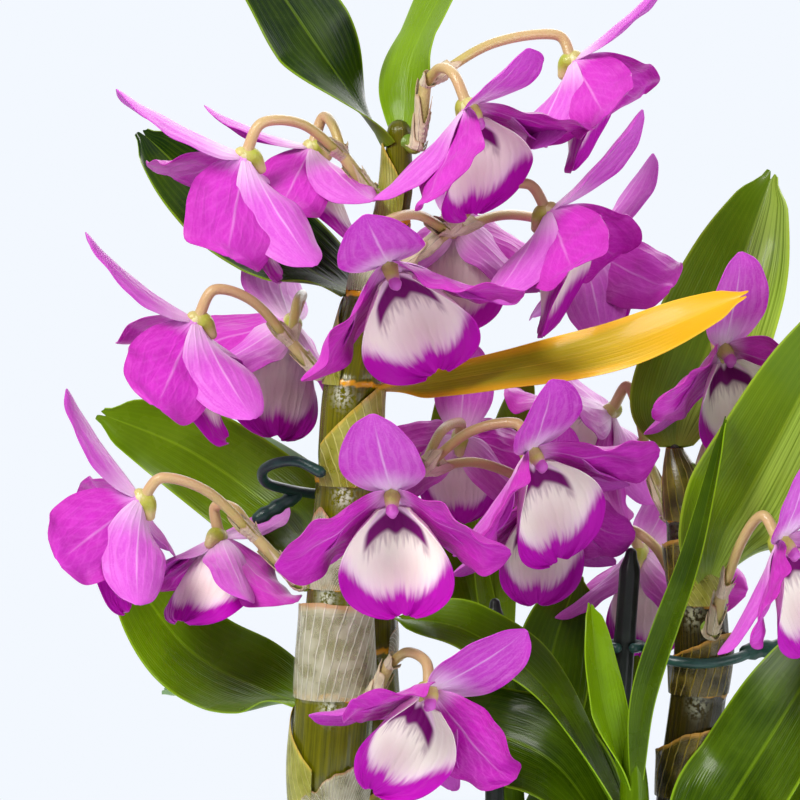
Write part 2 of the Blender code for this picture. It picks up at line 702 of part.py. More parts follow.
def main():
    for old in list(bpy.data.objects):
        bpy.data.objects.remove(old)
    make_pot()
    standing = []
    for cane in CANES:
        standing.append(stem_hole(CANES[cane], 0.5))
        make_cane(cane)
    for shoot in SHOOTS:
        standing.append(stem_hole(SHOOTS[shoot][0], 0.2))
        make_shoot(shoot)
    bpy.context.view_layer.update()
    for stake, (foot, head, radius) in STAKES.items():
        standing.append(hole((foot, stake_at(stake, HOLE_TOP)), (radius, radius)))
        make_stake(stake)
    make_bark(standing)
    for clip in CLIPS:
        make_clip(clip)
    for leaf in LEAVES:
        make_leaf(leaf)
    for spray in SPRAYS:
        make_spray(spray)


main()
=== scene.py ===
"""Looks of a potted noble dendrobium orchid in flower, staked and clipped.

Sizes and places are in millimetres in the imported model's frame, and become metres as each mesh is made.
An azimuth of 0 faces the front (-Y), 90 the right-hand side (+X) and -90 the left.
"""

from __future__ import annotations

import logging
import math
import random
from collections.abc import Callable
from dataclasses import dataclass, field
from enum import Enum

import bmesh
import bpy
import numpy as np
from mathutils import Matrix, Vector, noise

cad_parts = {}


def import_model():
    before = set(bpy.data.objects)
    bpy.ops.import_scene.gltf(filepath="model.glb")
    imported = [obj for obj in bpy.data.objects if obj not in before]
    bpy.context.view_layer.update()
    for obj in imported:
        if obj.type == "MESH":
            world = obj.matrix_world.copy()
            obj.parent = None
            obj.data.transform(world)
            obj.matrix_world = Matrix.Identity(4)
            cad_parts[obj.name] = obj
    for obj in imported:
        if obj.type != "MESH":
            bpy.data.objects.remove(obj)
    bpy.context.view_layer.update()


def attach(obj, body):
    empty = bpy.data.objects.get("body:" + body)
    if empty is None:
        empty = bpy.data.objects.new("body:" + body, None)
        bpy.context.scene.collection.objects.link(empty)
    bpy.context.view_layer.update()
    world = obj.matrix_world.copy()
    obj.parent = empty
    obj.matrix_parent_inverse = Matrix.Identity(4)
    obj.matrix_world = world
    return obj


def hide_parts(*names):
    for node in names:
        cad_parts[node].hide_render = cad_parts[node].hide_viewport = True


LOG = logging.getLogger("orchid")
MM = 0.001
BODY = "root"
PLACE = "place"
TINT = "tint"
MARK = "mark"

Colour = tuple[float, float, float]
Point = tuple[float, float, float]


def linear(red: float, green: float, blue: float) -> Colour:
    """Turns a screen colour of 0 to 255 into the linear colour a shader takes."""
    shares = (red, green, blue)
    return tuple(((value / 255 + 0.055) / 1.055) ** 2.4 if value > 10 else value / 3294 for value in shares)


def unit(vector: np.ndarray | Point) -> np.ndarray:
    """The vector at length 1."""
    vector = np.asarray(vector, float)
    return vector / np.linalg.norm(vector)


def ease(value: np.ndarray | float, low: float, high: float) -> np.ndarray:
    """A smooth step from 0 at low to 1 at high."""
    share = np.clip((np.asarray(value, float) - low) / (high - low), 0, 1)
    return share * share * (3 - 2 * share)


def smooth_line(points: np.ndarray | tuple, count: int) -> np.ndarray:
    """Samples a smooth curve through points of any dimension.

    Args:
        points: The points that the curve passes through.
        count: How many evenly stepped samples to take.

    Returns:
        The samples, one a row.
    """
    points = np.asarray(points, float)
    ends = np.vstack([2 * points[0] - points[1], points, 2 * points[-1] - points[-2]])
    found = []
    for place in np.linspace(0, len(points) - 1, count):
        index = min(int(place), len(points) - 2)
        t = place - index
        a, b, c, d = ends[index:index + 4]
        found.append(b + 0.5 * t * (c - a + t * (2 * a - 5 * b + 4 * c - d + t * (3 * (b - c) + d - a))))
    return np.array(found)


def outward(azimuth: float) -> np.ndarray:
    """The level direction of an azimuth in degrees."""
    turn = math.radians(azimuth)
    return np.array((math.sin(turn), -math.cos(turn), 0))


def placed(name: str, data: bpy.types.ID) -> bpy.types.Object:
    """A new object in the scene that holds a mesh, light or camera."""
    made = bpy.data.objects.new(name, data)
    bpy.context.scene.collection.objects.link(made)
    return made


@dataclass
class Shape:
    """A closed surface on its way to a mesh.

    Attributes:
        points: Its points in millimetres, one a row.
        faces: Its faces as lists of point numbers.
        place: Where each point lies on its blade or tube, which the finishes read.
        tint: A number for each point that shifts its colour.
        mark: A second number for each point, such as nearness to a ring.
    """

    points: np.ndarray
    faces: list[list[int]]
    place: np.ndarray
    tint: np.ndarray
    mark: np.ndarray

    @classmethod
    def joined(cls, shapes: list[Shape]) -> Shape:
        """Puts several shapes together as one.

        Args:
            shapes: The shapes, which stay separate shells.

        Returns:
            One shape with all their faces.
        """
        faces = []
        start = 0
        for shape in shapes:
            faces += [[corner + start for corner in face] for face in shape.faces]
            start += len(shape.points)
        return cls(
            np.vstack([shape.points for shape in shapes]),
            faces,
            np.vstack([shape.place for shape in shapes]),
            np.concatenate([shape.tint for shape in shapes]),
            np.concatenate([shape.mark for shape in shapes]),
        )

    def piece(self, name: str, finish: Finish, slot: str, stands_for: tuple[str, ...] = (),
              crease: float = 50) -> bpy.types.Object:
        """Makes the mesh object, hangs it on the body and hides the CAD parts that it stands for.

        Args:
            name: The object's name.
            finish: Its finish.
            slot: The record's material slot; not used.
            stands_for: The CAD nodes that it replaces.
            crease: Faces that meet at more than this many degrees stay sharp.

        Returns:
            The object, riding on the body.
        """
        mesh = bpy.data.meshes.new(name)
        mesh.from_pydata((self.points * MM).tolist(), [], self.faces)
        mesh.attributes.new(PLACE, "FLOAT_VECTOR", "POINT").data.foreach_set(
            "vector", self.place.astype(np.float32).ravel())
        for label, values in ((TINT, self.tint), (MARK, self.mark)):
            mesh.attributes.new(label, "FLOAT", "POINT").data.foreach_set("value", values.astype(np.float32))
        mesh.materials.append(finish.material())
        mesh.shade_smooth()
        mesh.set_sharp_from_angle(angle=math.radians(crease))
        made = placed(name, mesh)
        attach(made, BODY)
        if stands_for:
            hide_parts(*stands_for)
        LOG.info("%s: %d faces", name, len(self.faces))
        return made


def blade(grid: np.ndarray, across: np.ndarray, along: np.ndarray, thickness: float, rim: float = 0.3,
          tint: float = 0.0) -> Shape:
    """Closes a thin blade about a grid of middle points.

    Args:
        grid: Middle points, in rows along the blade and columns across it.
        across: How far across each column lies, from -1 to 1.
        along: How far along each row lies, from 0 to 1.
        thickness: Full thickness at the middle of the blade.
        rim: Share of the thickness left at the side edges.
        tint: The colour shift of the whole blade.

    Returns:
        The blade, with its front face turned along across x along.
    """
    rows, columns = grid.shape[:2]
    normal = np.cross(np.gradient(grid, axis=1), np.gradient(grid, axis=0))
    normal /= np.maximum(np.linalg.norm(normal, axis=2, keepdims=True), 1e-9)
    wide, long = np.meshgrid(across, along)
    half = 0.5 * thickness * (rim + (1 - rim) * (1 - wide ** 4) * (1 - long ** 12))
    front = grid + normal * half[..., None]
    back = grid - normal * half[..., None]
    first = (np.arange(rows - 1)[:, None] * columns + np.arange(columns - 1)).ravel()
    quads = np.stack([first, first + 1, first + columns + 1, first + columns], 1)
    behind = rows * columns
    border = np.concatenate([
        np.arange(columns),
        np.arange(2, rows + 1) * columns - 1,
        (rows - 1) * columns + np.arange(columns - 2, -1, -1),
        np.arange(rows - 2, 0, -1) * columns,
    ])
    after = np.roll(border, -1)
    edge = np.stack([after, border, border + behind, after + behind], 1)
    faces = np.vstack([quads, quads[:, ::-1] + behind, edge]).tolist()
    place = [np.stack([wide, long, np.full_like(wide, side)], 2).reshape(-1, 3) for side in (1.0, -1.0)]
    count = 2 * behind
    return Shape(
        np.vstack([front.reshape(-1, 3), back.reshape(-1, 3)]), faces, np.vstack(place),
        np.full(count, tint), np.zeros(count),
    )


CAP_ANGLES = (80, 52, 25)
NEARLY_UP = (0.31, 0.23, 0.92)


def tube(line: np.ndarray, radii: np.ndarray | float, sides: int = 16, tint: float = 0.0,
         blunt: float = 1.0) -> Shape:
    """Sweeps a round bar along a line, with rounded ends.

    Args:
        line: Points of the middle line.
        radii: The radius at each point, one for all, or one for each point and side.
        sides: How many points go round.
        tint: The colour shift of the whole bar.
        blunt: How far the rounded ends stand out, as a share of the radius there.

    Returns:
        The bar. Its place holds the cosine and sine of the turn, and how far along it is.
    """
    line = np.asarray(line, float)
    if np.ndim(radii) < 2:
        radii = np.repeat(np.broadcast_to(np.asarray(radii, float), (len(line),))[:, None], sides, 1)
    shares = np.linspace(0, 1, len(line))
    steps = np.gradient(line, axis=0)
    steps /= np.linalg.norm(steps, axis=1, keepdims=True)
    cap = np.radians(CAP_ANGLES)
    for end, sign in ((0, -1), (-1, 1)):
        out = line[end] + sign * blunt * radii[end].mean() * np.sin(cap)[:, None] * steps[end]
        small = radii[end] * np.cos(cap)[:, None]
        if end == 0:
            line, radii = np.vstack([out, line]), np.vstack([small, radii])
            steps = np.vstack([np.repeat(steps[:1], 3, 0), steps])
            shares = np.concatenate([[0, 0, 0], shares])
        else:
            line, radii = np.vstack([line, out[::-1]]), np.vstack([radii, small[::-1]])
            steps = np.vstack([steps, np.repeat(steps[-1:], 3, 0)])
            shares = np.concatenate([shares, [1, 1, 1]])
    side = np.cross(steps[0], NEARLY_UP if abs(steps[0][2]) < 0.9 else (1.0, 0, 0))
    turns = np.linspace(0, 2 * math.pi, sides, endpoint=False)
    points = np.zeros((len(line), sides, 3))
    for row, forward in enumerate(steps):
        side = unit(side - np.dot(side, forward) * forward)
        other = np.cross(forward, side)
        ring = np.cos(turns)[:, None] * side + np.sin(turns)[:, None] * other
        points[row] = line[row] + radii[row][:, None] * ring
    base = np.arange(len(line) - 1)[:, None] * sides
    turn = np.arange(sides)
    after = (turn + 1) % sides
    quads = np.stack([base + turn, base + after, base + sides + after, base + sides + turn], 2).reshape(-1, 4)
    faces = quads.tolist() + [turn[::-1].tolist(), ((len(line) - 1) * sides + turn).tolist()]
    place = np.zeros((len(line), sides, 3))
    place[..., 0] = np.cos(turns)
    place[..., 1] = np.sin(turns)
    place[..., 2] = shares[:, None]
    count = len(line) * sides
    return Shape(points.reshape(-1, 3), faces, place.reshape(-1, 3), np.full(count, tint), np.zeros(count))


def tapered(line: np.ndarray, places: tuple[float, ...], radii: tuple[float, ...], sides: int = 20) -> Shape:
    """A bar whose radius runs through the given ones at the given shares of its line."""
    return tube(line, np.interp(np.linspace(0, 1, len(line)), places, radii), sides)


def turned(profile: np.ndarray | tuple, sides: int) -> Shape:
    """Turns a profile about the upright axis.

    Args:
        profile: Radius and height corners, from the axis round to the axis again.
        sides: How many points go round.

    Returns:
        The closed body, with the height share in its place.
    """
    profile = np.asarray(profile, float)
    turns = np.linspace(0, 2 * math.pi, sides, endpoint=False)
    inner = profile[1:-1]
    rings = np.stack([
        inner[:, :1] * np.cos(turns), inner[:, :1] * np.sin(turns), np.repeat(inner[:, 1:], sides, 1),
    ], 2).reshape(-1, 3)
    points = np.vstack([rings, (0, 0, profile[0][1]), (0, 0, profile[-1][1])])
    turn = np.arange(sides)
    after = (turn + 1) % sides
    base = np.arange(len(inner) - 1)[:, None] * sides
    quads = np.stack([base + turn, base + after, base + sides + after, base + sides + turn], 2).reshape(-1, 4)
    low, high = len(rings), len(rings) + 1
    last = (len(inner) - 1) * sides
    faces = quads.tolist()
    faces += [[low, int(b), int(a)] for a, b in zip(turn, after)]
    faces += [[high, int(last + a), int(last + b)] for a, b in zip(turn, after)]
    heights = (points[:, 2] - points[:, 2].min()) / np.ptp(points[:, 2])
    place = np.stack([points[:, 0], points[:, 1], heights], 1)
    return Shape(points, faces, place, np.zeros(len(points)), np.zeros(len(points)))


class Value:
    """A number in a shader tree that plain sums work on; each sum adds a node to the tree."""

    def __init__(self, wiring: Wiring, socket: bpy.types.NodeSocket) -> None:
        """Keeps the socket that holds the number, and the wiring of its tree."""
        self.wiring = wiring
        self.socket = socket

    def __add__(self, other: Value | float) -> Value:
        """The sum."""
        return self.wiring.math("ADD", self, other)

    def __radd__(self, other: float) -> Value:
        """The sum, the other way round."""
        return self.wiring.math("ADD", other, self)

    def __sub__(self, other: Value | float) -> Value:
        """The difference."""
        return self.wiring.math("SUBTRACT", self, other)

    def __rsub__(self, other: float) -> Value:
        """The difference, the other way round."""
        return self.wiring.math("SUBTRACT", other, self)

    def __mul__(self, other: Value | float) -> Value:
        """The product."""
        return self.wiring.math("MULTIPLY", self, other)

    def __pow__(self, other: Value | float) -> Value:
        """The power."""
        return self.wiring.math("POWER", self, other)

    def __abs__(self) -> Value:
        """The size of the number."""
        return self.wiring.math("ABSOLUTE", self)

    def held(self) -> Value:
        """The last sum, kept between 0 and 1."""
        self.socket.node.use_clamp = True
        return self


class Wiring:
    """Adds and links the nodes of one shader tree."""

    def __init__(self, tree: bpy.types.NodeTree) -> None:
        """Keeps the tree that the nodes go into."""
        self.tree = tree

    def node(self, kind: str, **settings: object) -> bpy.types.Node:
        """Adds a node.

        Args:
            kind: Blender's name for the type of node.
            **settings: Values for its properties.

        Returns:
            The node.
        """
        made = self.tree.nodes.new(kind)
        for key, value in settings.items():
            setattr(made, key, value)
        return made

    def fed(self, kind: str, sources: dict, output: int | str = 0, **settings: object) -> Value:
        """Adds a node and feeds its inputs.

        Args:
            kind: Blender's name for the type of node.
            sources: What each input gets, by its number or name.
            output: The number or name of the output wanted.
            **settings: Values for its properties.

        Returns:
            The output's value.
        """
        made = self.node(kind, **settings)
        for key, source in sources.items():
            self.feed(made.inputs[key], source)
        return Value(self, made.outputs[output])

    def feed(self, socket: bpy.types.NodeSocket, source: Value | Colour | float) -> None:
        """Links a socket to a value, or sets it to a number, a screen colour or four linear parts."""
        if isinstance(source, Value):
            self.tree.links.new(source.socket, socket)
        elif isinstance(source, tuple):
            socket.default_value = (*linear(*source), 1) if len(source) == 3 else source
        else:
            socket.default_value = source

    def math(self, operation: str, first: Value | float, second: Value | float = 0.0) -> Value:
        """Works out one sum, by Blender's name for it."""
        return self.fed("ShaderNodeMath", {0: first, 1: second}, operation=operation)

    def step(self, value: Value, low: Value | float, high: Value | float) -> Value:
        """Runs smoothly from 0 where a value is low to 1 where it is high."""
        return self.fed("ShaderNodeMapRange", {0: value, 1: low, 2: high}, interpolation_type="SMOOTHSTEP")

    def blend(self, share: Value, first: Value | Colour, second: Value | Colour) -> Value:
        """Mixes two colours, by the share of the second one."""
        return self.fed("ShaderNodeMix", {0: share, 6: first, 7: second}, 2, data_type="RGBA")

    def noise(self, vector: Value, scale: Value | float, detail: float = 3.0) -> Value:
        """Soft noise from 0 to 1, read at a vector, with a number of finer layers."""
        return self.fed("ShaderNodeTexNoise", {"Vector": vector, "Scale": scale, "Detail": detail})

    def joined(self, x: Value | float, y: Value | float, z: Value | float) -> Value:
        """Makes a vector of three values."""
        return self.fed("ShaderNodeCombineXYZ", {0: x, 1: y, 2: z})

    def parted(self, vector: Value) -> tuple[Value, ...]:
        """Takes a vector apart into its three values."""
        made = self.node("ShaderNodeSeparateXYZ")
        self.feed(made.inputs[0], vector)
        return tuple(Value(self, socket) for socket in made.outputs)

    def read(self, name: str, output: str = "Fac") -> Value:
        """Reads one of the values that every piece's points hold."""
        return self.fed("ShaderNodeAttribute", {}, output, attribute_name=name)

    def where(self) -> Value:
        """The place on the object, in metres."""
        return self.fed("ShaderNodeTexCoord", {}, "Object")

    def group(self, shared: SharedGroup, **sources: Value | float) -> Value:
        """Places a shared group, with what its inputs get by name."""
        return self.fed("ShaderNodeGroup", sources, node_tree=shared.tree())

    def bump(self, shader: bpy.types.Node, height: Value, depth: float) -> None:
        """Raises a shader's surface by a height from 0 to 1, with its full depth in millimetres."""
        raised = self.fed("ShaderNodeBump", {"Height": height, "Distance": depth * MM})
        self.feed(shader.inputs["Normal"], raised)


@dataclass(frozen=True)
class SharedGroup:
    """A shader group that several finishes use.

    Attributes:
        name: The group's name.
        inputs: The name and the usual value of each number it takes. One named PLACE takes the place vector.
        output: The name of the value it gives.
        wire: Wires its result from its inputs, which it gets by name.
    """

    name: str
    inputs: dict[str, float]
    output: str
    wire: Callable[[Wiring, dict[str, Value]], Value]

    def tree(self) -> bpy.types.NodeTree:
        """The group's node tree, made at its first use."""
        found = bpy.data.node_groups.get(self.name)
        if found:
            return found
        tree = bpy.data.node_groups.new(self.name, "ShaderNodeTree")
        for label, usual in self.inputs.items():
            kind = "NodeSocketVector" if label == PLACE else "NodeSocketFloat"
            socket = tree.interface.new_socket(label, in_out="INPUT", socket_type=kind)
            if kind == "NodeSocketFloat":
                socket.default_value = usual
        tree.interface.new_socket(self.output, in_out="OUTPUT", socket_type="NodeSocketFloat")
        w = Wiring(tree)
        start, end = w.node("NodeGroupInput"), w.node("NodeGroupOutput")
        takes = {socket.name: Value(w, socket) for socket in start.outputs if socket.name}
        w.feed(end.inputs[0], self.wire(w, takes))
        return tree


def wire_lengthwise(w: Wiring, takes: dict[str, Value]) -> Value:
    """Veins running from the base of a blade to its tip."""
    across, along, _ = w.parted(takes[PLACE])
    drift = w.noise(w.joined(across * 2.0, along * 1.6, 0.0), 2.2, 2.0)
    shift = (drift - 0.5) * takes["wander"]
    turn = (across + shift) * (takes["count"] * (math.pi / 2))
    return abs(w.math("COSINE", turn)) ** takes["fineness"]


def wire_branching(w: Wiring, takes: dict[str, Value]) -> Value:
    """Side veins that leave a midrib at a slant and fade towards the edges."""
    across, along, _ = w.parted(takes[PLACE])
    off = abs(across)
    lean = off ** 0.7 * takes["slant"]
    stray = w.noise(w.joined(across * 3.0, along * 3.0, 0.0), 1.7, 2.0)
    turn = along + stray * 0.12 - lean
    crest = abs(w.math("COSINE", turn * (takes["count"] * 3.14)))
    return crest ** 14.0 * (1.0 - w.step(off, 0.55, 0.95))


def wire_mottling(w: Wiring, takes: dict[str, Value]) -> Value:
    """Soft uneven patches over a surface at its real scale."""
    return w.step(w.noise(w.where(), takes["per_metre"], 4.0), takes["low"], takes["high"])


def wire_pebbling(w: Wiring, takes: dict[str, Value]) -> Value:
    """The tiny cells of a plant's skin, as a height."""
    sources = {"Vector": w.where(), "Scale": takes["per_metre"]}
    return (1.0 - w.fed("ShaderNodeTexVoronoi", sources, "Distance")).held()


def wire_edge_band(w: Wiring, takes: dict[str, Value]) -> Value:
    """The side edges of a blade."""
    across, _, _ = w.parted(takes[PLACE])
    return w.step(abs(across), takes["inner"], takes["outer"])


LENGTHWISE_VEINS = SharedGroup(
    "lengthwise_veins", {PLACE: 0, "count": 12, "wander": 0.6, "fineness": 6}, "vein", wire_lengthwise)
BRANCHING_VEINS = SharedGroup(
    "branching_veins", {PLACE: 0, "count": 12, "slant": 0.5}, "vein", wire_branching)
MOTTLING = SharedGroup("mottling", {"per_metre": 80, "low": 0.35, "high": 0.65}, "patch", wire_mottling)
PEBBLING = SharedGroup("pebbling", {"per_metre": 2500}, "height", wire_pebbling)
EDGE_BAND = SharedGroup("edge_band", {PLACE: 0, "inner": 0.9, "outer": 0.98}, "edge", wire_edge_band)


def set_values(shader: bpy.types.Node, values: dict[str, object]) -> None:
    """Sets those inputs of a shader that are the same all over."""
    for label, value in values.items():
        shader.inputs[label].default_value = value


@dataclass(frozen=True)
class Finish:
    """A surface finish with a name of its own.

    Attributes:
        name: The material's name.
        roughness: The roughness of the surface.
    """

    name: str
    roughness: float

    def material(self) -> bpy.types.Material:
        """The finish's material, made at its first use."""
        found = bpy.data.materials.get(self.name)
        if found:
            return found
        found = bpy.data.materials.new(self.name)
        found.use_nodes = True
        shader = found.node_tree.nodes["Principled BSDF"]
        shader.inputs["Roughness"].default_value = self.roughness
        self.dress(Wiring(found.node_tree), shader)
        return found

    def dress(self, w: Wiring, shader: bpy.types.Node) -> None:
        """Wires the finish to its shader; each kind of finish has its own way."""
        raise NotImplementedError


@dataclass(frozen=True)
class TepalFinish(Finish):
    """A sepal's or petal's skin: pale at its base, veined along its length and deeper at its edges."""

    base: Colour
    body: Colour
    deep: Colour
    vein: Colour
    pale_to: float = 0.3
    vein_share: float = 0.5
    branch_share: float = 0.12
    veins: float = 11

    def dress(self, w: Wiring, shader: bpy.types.Node) -> None:
        """Wires the veined gradient, the darker edge and the satin of fine cells."""
        place = w.read(PLACE, "Vector")
        across, along, face = w.parted(place)
        shift = w.read(TINT)
        edge = w.group(EDGE_BAND, place=place, inner=0.35, outer=1.02)
        patch = w.group(MOTTLING, per_metre=140, low=0.3, high=0.7)
        vein = w.group(LENGTHWISE_VEINS, place=place, count=self.veins, wander=0.3, fineness=5)
        cell = w.noise(w.where(), 1500.0, 2.0)
        hair = w.group(LENGTHWISE_VEINS, place=place, count=self.veins * 2.7, wander=0.5, fineness=3)
        colour = w.blend(edge * 0.75, self.body, self.deep)
        colour = w.blend(patch * 0.35, colour, self.deep)
        colour = w.blend(w.step(cell, 0.45, 0.75) * 0.2, colour, self.vein)
        toward = 1.0 - w.step(along, 0.55, 1.0)
        drawn = vein * self.vein_share * toward
        colour = w.blend(drawn, colour, self.vein)
        colour = w.blend(hair * 0.16, colour, self.vein)
        branch = w.group(BRANCHING_VEINS, place=place, count=7, slant=0.55)
        colour = w.blend(branch * self.branch_share, colour, self.vein)
        rib = 1.0 - w.step(abs(across), 0.0, 0.05)
        rib = rib * (1.0 - w.step(along, 0.5, 1.0))
        colour = w.blend(rib * 0.5, colour, self.base)
        blush = w.noise(w.joined(across * 5.0, along, 0.0), 2.0)
        reach = along + (blush - 0.5) * 0.16
        pale = 1.0 - w.step(reach, 0.02, self.pale_to)
        colour = w.blend(pale * 0.9, colour, self.base)
        behind = w.step(face * -1.0, 0.2, 0.8)
        colour = w.blend(behind * 0.22, colour, self.vein)
        colour = w.blend(shift * 0.5, colour, self.vein)
        w.feed(shader.inputs["Base Color"], colour)
        crepe = w.noise(w.where(), 260.0, 1.0)
        raised = vein * toward * 0.4
        w.bump(shader, raised + crepe, 0.25)
        set_values(shader, {
            "Subsurface Weight": 0.15,
            "Subsurface Radius": (1.0, 0.35, 1.0),
            "Subsurface Scale": 1.0 * MM,
            "Specular IOR Level": 0.22,
        })


@dataclass(frozen=True)
class LipFinish(Finish):
    """The lip's skin: cream, with a purple margin, a dark arch with streaks in the throat, and painted shade
    of pinkish grey in the deep middle of its dish.
    """

    cream: Colour
    blush: Colour
    margin: Colour
    throat: Colour
    # The hollow colour is painted shade for the deepest middle of the dish, not a colour of the lip itself.
    hollow_shade: Colour

    def dress(self, w: Wiring, shader: bpy.types.Node) -> None:
        """Wires the cream middle, the margin, the arch and its streaks, and paints shade into the deep middle
        of the dish.
        """
        place = w.read(PLACE, "Vector")
        across, along, face = w.parted(place)
        off = abs(across)
        fan = w.noise(w.joined(across * 9.0, along * 2.0, 0.0), 2.2, 1.2)
        fray = (fan - 0.5) * 0.14
        square = off * off
        peak = 1.0 - w.step(off, 0.0, 0.15)
        line = 0.74 - w.step(off, 0.4, 1.0) * 0.36
        line = line - peak * 0.05
        past = along - line + fray
        margin = w.step(past, -0.07, 0.11)
        haze = w.step(past, -0.22, 0.06)
        arch = 0.19 + (square * 0.7 + peak * 0.06)
        below = along - arch
        feather = w.step(fan, 0.3, 0.75) * 0.12
        inner = 1.0 - w.step(off, 0.44, 0.55)
        top = w.step(below, -0.22, -0.15)
        band = top * (1.0 - w.step(below, -0.03, 0.05))
        veil = 1.0 - w.step(below - feather, -0.06, 0.09)
        veil = veil * top * (inner * 0.45)
        band = band * inner
        front = w.step(face, -0.2, 0.2)
        colour = w.blend(haze * 0.5, self.cream, self.blush)
        patch = w.group(MOTTLING, per_metre=90, low=0.3, high=0.75)
        colour = w.blend(patch * 0.12, colour, self.blush)
        colour = w.blend(margin, colour, self.margin)
        # Painted shade: the middle of the dish, where the cup is deepest, is greyed towards the hollow colour
        # as if in shade.
        middle = 1.0 - w.step(off, 0.1, 0.62)
        hollow_shade = middle * w.step(along, 0.3, 0.58)
        hollow_shade = hollow_shade * (1.0 - margin)
        colour = w.blend(hollow_shade * 0.55, colour, self.hollow_shade)
        throat = (1.0 - w.step(below, -0.16, 0.0)) * inner
        colour = w.blend(throat * 0.6, colour, self.blush)
        dark = w.math("MAXIMUM", band, veil)
        dark = dark * (0.3 + front * 0.7)
        colour = w.blend(dark, colour, self.throat)
        w.feed(shader.inputs["Base Color"], colour)
        vein = w.group(LENGTHWISE_VEINS, place=place, count=15, wander=0.2, fineness=4)
        cells = w.group(PEBBLING, per_metre=2600)
        height = vein * 0.5 + cells * 0.12
        w.bump(shader, height, 0.2)
        set_values(shader, {
            "Subsurface Weight": 0.12,
            "Subsurface Radius": (1.0, 0.7, 0.8),
            "Subsurface Scale": 0.8 * MM,
            "Specular IOR Level": 0.12,
        })


@dataclass(frozen=True)
class LeafFinish(Finish):
    """A leathery leaf: lengthwise veins, a furrow down the middle, a pale rim and a duller underside."""

    deep: Colour
    fresh: Colour
    under: Colour
    rim: Colour
    streaks: float = 0.0
    streak: Colour = (160, 190, 70)
    aged_rim: float = 0.0

    def dress(self, w: Wiring, shader: bpy.types.Node) -> None:
        """Wires the greens, the veins, the furrow, the rim and the streaks."""
        place = w.read(PLACE, "Vector")
        across, along, face = w.parted(place)
        shift = w.read(TINT)
        patch = w.group(MOTTLING, per_metre=55, low=0.25, high=0.75)
        fine = w.group(LENGTHWISE_VEINS, place=place, count=46, wander=0.12, fineness=2)
        broad = w.group(LENGTHWISE_VEINS, place=place, count=13, wander=0.15, fineness=5)
        age = (shift + (patch - 0.5) * 0.22).held()
        colour = w.blend(age, self.deep, self.fresh)
        lighter = fine * 0.03 + broad * 0.04
        colour = w.blend(lighter, colour, self.rim)
        if self.streaks:
            grain = w.noise(w.joined(across * 16.0, along, 0.0), 1.6)
            half = w.step(across, -0.02, 0.12)
            striped = w.step(grain, 0.3, 0.6) * half
            colour = w.blend(striped * self.streaks, colour, self.streak)
        if self.aged_rim:
            aged = w.group(EDGE_BAND, place=place, inner=0.45, outer=1.0)
            tip = w.step(along, 0.45, 1.0)
            old = w.math("MAXIMUM", aged, tip)
            colour = w.blend(old * self.aged_rim, colour, self.streak)
        furrow = 1.0 - w.step(abs(across), 0.012, 0.055)
        colour = w.blend(furrow * 0.2, colour, self.rim)
        behind = w.step(face * -1.0, 0.2, 0.8)
        colour = w.blend(behind * 0.6, colour, self.under)
        foot = 1.0 - w.step(along, 0.0, 0.14)
        colour = w.blend(foot * 0.4, colour, self.rim)
        edge = w.group(EDGE_BAND, place=place, inner=0.94, outer=0.985)
        colour = w.blend(edge * 0.55, colour, self.rim)
        w.feed(shader.inputs["Base Color"], colour)
        dull = self.roughness - 0.05 + patch * 0.12
        w.feed(shader.inputs["Roughness"], dull + behind * 0.15)
        height = fine * 0.35 + broad * 0.4
        height = height - furrow * 0.8
        w.bump(shader, height * (1.0 - w.step(along, 0.6, 0.95)), 0.14)
        set_values(shader, {"Specular IOR Level": 0.14, "Coat Weight": 0.08, "Coat Roughness": 0.12})


@dataclass(frozen=True)
class CaneFinish(Finish):
    """A cane's waxy skin: streaked along its length, with yellow rings and chalky buds."""

    dark: Colour
    light: Colour
    ring: Colour
    chalk: Colour

    def dress(self, w: Wiring, shader: bpy.types.Node) -> None:
        """Wires the streaks, the rings and the chalky marks."""
        cosine, sine, along = w.parted(w.read(PLACE, "Vector"))
        ring = w.read(TINT)
        chalk = w.read(MARK)
        lines = w.noise(w.joined(cosine * 9.0, sine * 9.0, along * 9.0), 1.4, 5.0)
        patch = w.group(MOTTLING, per_metre=45, low=0.3, high=0.7)
        share = w.step(lines, 0.3, 0.7) * 0.6 + patch * 0.4
        colour = w.blend(share, self.dark, self.light)
        colour = w.blend(w.step(ring, 0.35, 0.8), colour, self.ring)
        speck = w.noise(w.where(), 900.0, 2.0)
        dust = chalk * w.step(speck, 0.38, 0.6)
        colour = w.blend(dust * 0.9, colour, self.chalk)
        w.feed(shader.inputs["Base Color"], colour)
        w.feed(shader.inputs["Roughness"], self.roughness + dust * 0.3)
        w.bump(shader, lines * 0.8 + dust * 0.3, 0.35)
        set_values(shader, {"Specular IOR Level": 0.35, "Coat Weight": 0.15, "Coat Roughness": 0.08})


